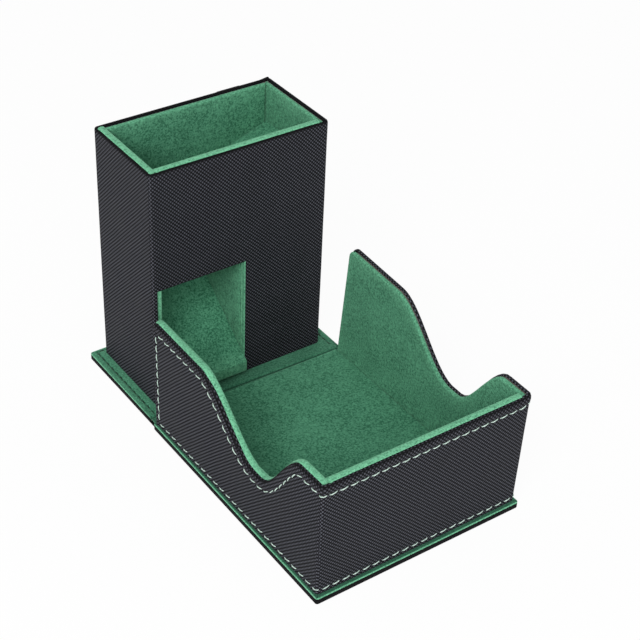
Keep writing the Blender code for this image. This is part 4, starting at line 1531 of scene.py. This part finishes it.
for side, shoulder, rise in ((-1, FRONT_SHOULDER, RIM_RISE), (1, RIGHT_SHOULDER, RIGHT_RISE)):
    node = "tray_left_lining" if side < 0 else "tray_right_lining"
    rim_points = side_rim(shoulder)
    outline = np.array(
        [(lining_front, tray_foot), (tray_rear, tray_foot), *rim_points, (lining_front, RIM_LEVEL)]
    )
    outline[2:, 1] += rise
    line = np.array(rear_edge[:-1] + rim_points)
    outer, inner = side * (TRAY_HALF - lip), side * (TRAY_HALF - TRAY_WALL)

    def above_rim(point):
        return above_line(line, point)

    # Raised nap and painted highlight on the rim, and on the far side painted light down the inner
    # face
    def tray_side_nap_highlight(point):
        if side < 0:
            return near_nap_highlight(above_rim(point))
        return far_nap_highlight(above_rim(point) - rise, outer - point.x)

    low_x, high_x = min(outer, inner), max(outer, inner)
    lined_board(
        node, outline, "x", low_x, high_x, above_rim, tray_side_nap_highlight, min(side, 0), "tray", lean
    )


def above_front(point):
    return point.z - RIM_LEVEL


low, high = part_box("tray_floor_lining")
tray_front_outline = upright_outline(low.x, high.x, tray_foot, RIM_LEVEL + RIM_RISE)
lined_board(
    "tray_front_lining",
    tray_front_outline,
    "y",
    lining_front,
    TRAY_FRONT + TRAY_WALL,
    above_front,
    # Raised nap and painted highlight along the top edge
    lambda point: near_nap_highlight(above_front(point)),
    -1,
    "tray",
    lean,
)

pad_corners = [(low.x, low.y), (high.x, low.y), (high.x, high.y), (low.x, high.y)]
pad_rings = [(PAD_FOOT, low.z), (0.0, low.z + PAD_FOOT)]
pad_rings += rounded_top(high.z, PAD_ROUND) + [(ring, high.z) for ring in PAD_RINGS]
pad = ring_solid(rounded([(*corner, PAD_CORNER) for corner in pad_corners]), pad_rings)
cut_evenly(pad, "xy")
for corner in pad.verts:
    if corner.co.z > high.z - FINE:
        corner.co.z += wave(corner.co, PUFF_SIZE, PAD_PUFF)
# Raised nap and painted highlight along the pad's rear edge
fit_lining(
    make("floor_suede", pad, suede),
    "tray_floor_lining",
    lambda point: PAD_NAP_HIGHLIGHT * smooth(*PAD_NAP_HIGHLIGHT_ZONE, point.y - high.y),
    "tray",
)


# Tray seams. Pale green thread holds the turned edges of the leatherette: one row below the rim,
# one above the foot, and one down each rear end of the side walls.
PALE_THREAD = (0.28, 0.41, 0.34, 1)
PALE_THREAD_LIGHT = (0.72, 0.86, 0.78, 1)
TRAY_STITCH = {
    "pitch": 0.0052,
    "length": 0.0047,
    "width": 0.00048,
    "height": 0.00046,
    "slant": 0.00030,
}
FACING_STEP = 0.001

pale_thread = thread_finish("pale_thread", PALE_THREAD, PALE_THREAD_LIGHT)

seam_start = REAR_LEAN + END_SEAM
left_seam_top = RIM_HEIGHT - RIM_SEAM
right_seam_top = left_seam_top + RIGHT_LIP_RAISE
rim_seam = [
    tuple(point)
    for point, rim_run in zip(rim_line + rim_inward * RIM_SEAM, rim_line[:, 0])
    if straight_end < rim_run < total_run - straight_end
]
foot_height = LEAN_START + FOOT_SEAM
foot_start = END_SEAM + REAR_LEAN * FOOT_SEAM / RIM_HEIGHT
foot_runs = [run for run in station_run if foot_start < run < total_run - foot_start]
foot_left, foot_right = (foot_start, foot_height), (total_run - foot_start, foot_height)
top_left, top_right = (seam_start, left_seam_top), (total_run - seam_start, right_seam_top)
seams = {
    "rim": [top_left, *rim_seam, top_right],
    "foot": [foot_left, *((run, foot_height) for run in foot_runs), foot_right],
    "left_end": [foot_left, top_left],
    "right_end": [foot_right, top_right],
}
for seam_name, points in seams.items():
    places = [np.array(on_tray(*point, 0)) for point in points]
    deeper = [np.array(on_tray(*point, FACING_STEP)) for point in points]
    facings = [place - below for place, below in zip(places, deeper)]
    sew(
        f"{seam_name}_stitches",
        places,
        facings,
        TRAY_STITCH,
        pale_thread,
        "tray",
        f"tray_{seam_name}_thread",
    )
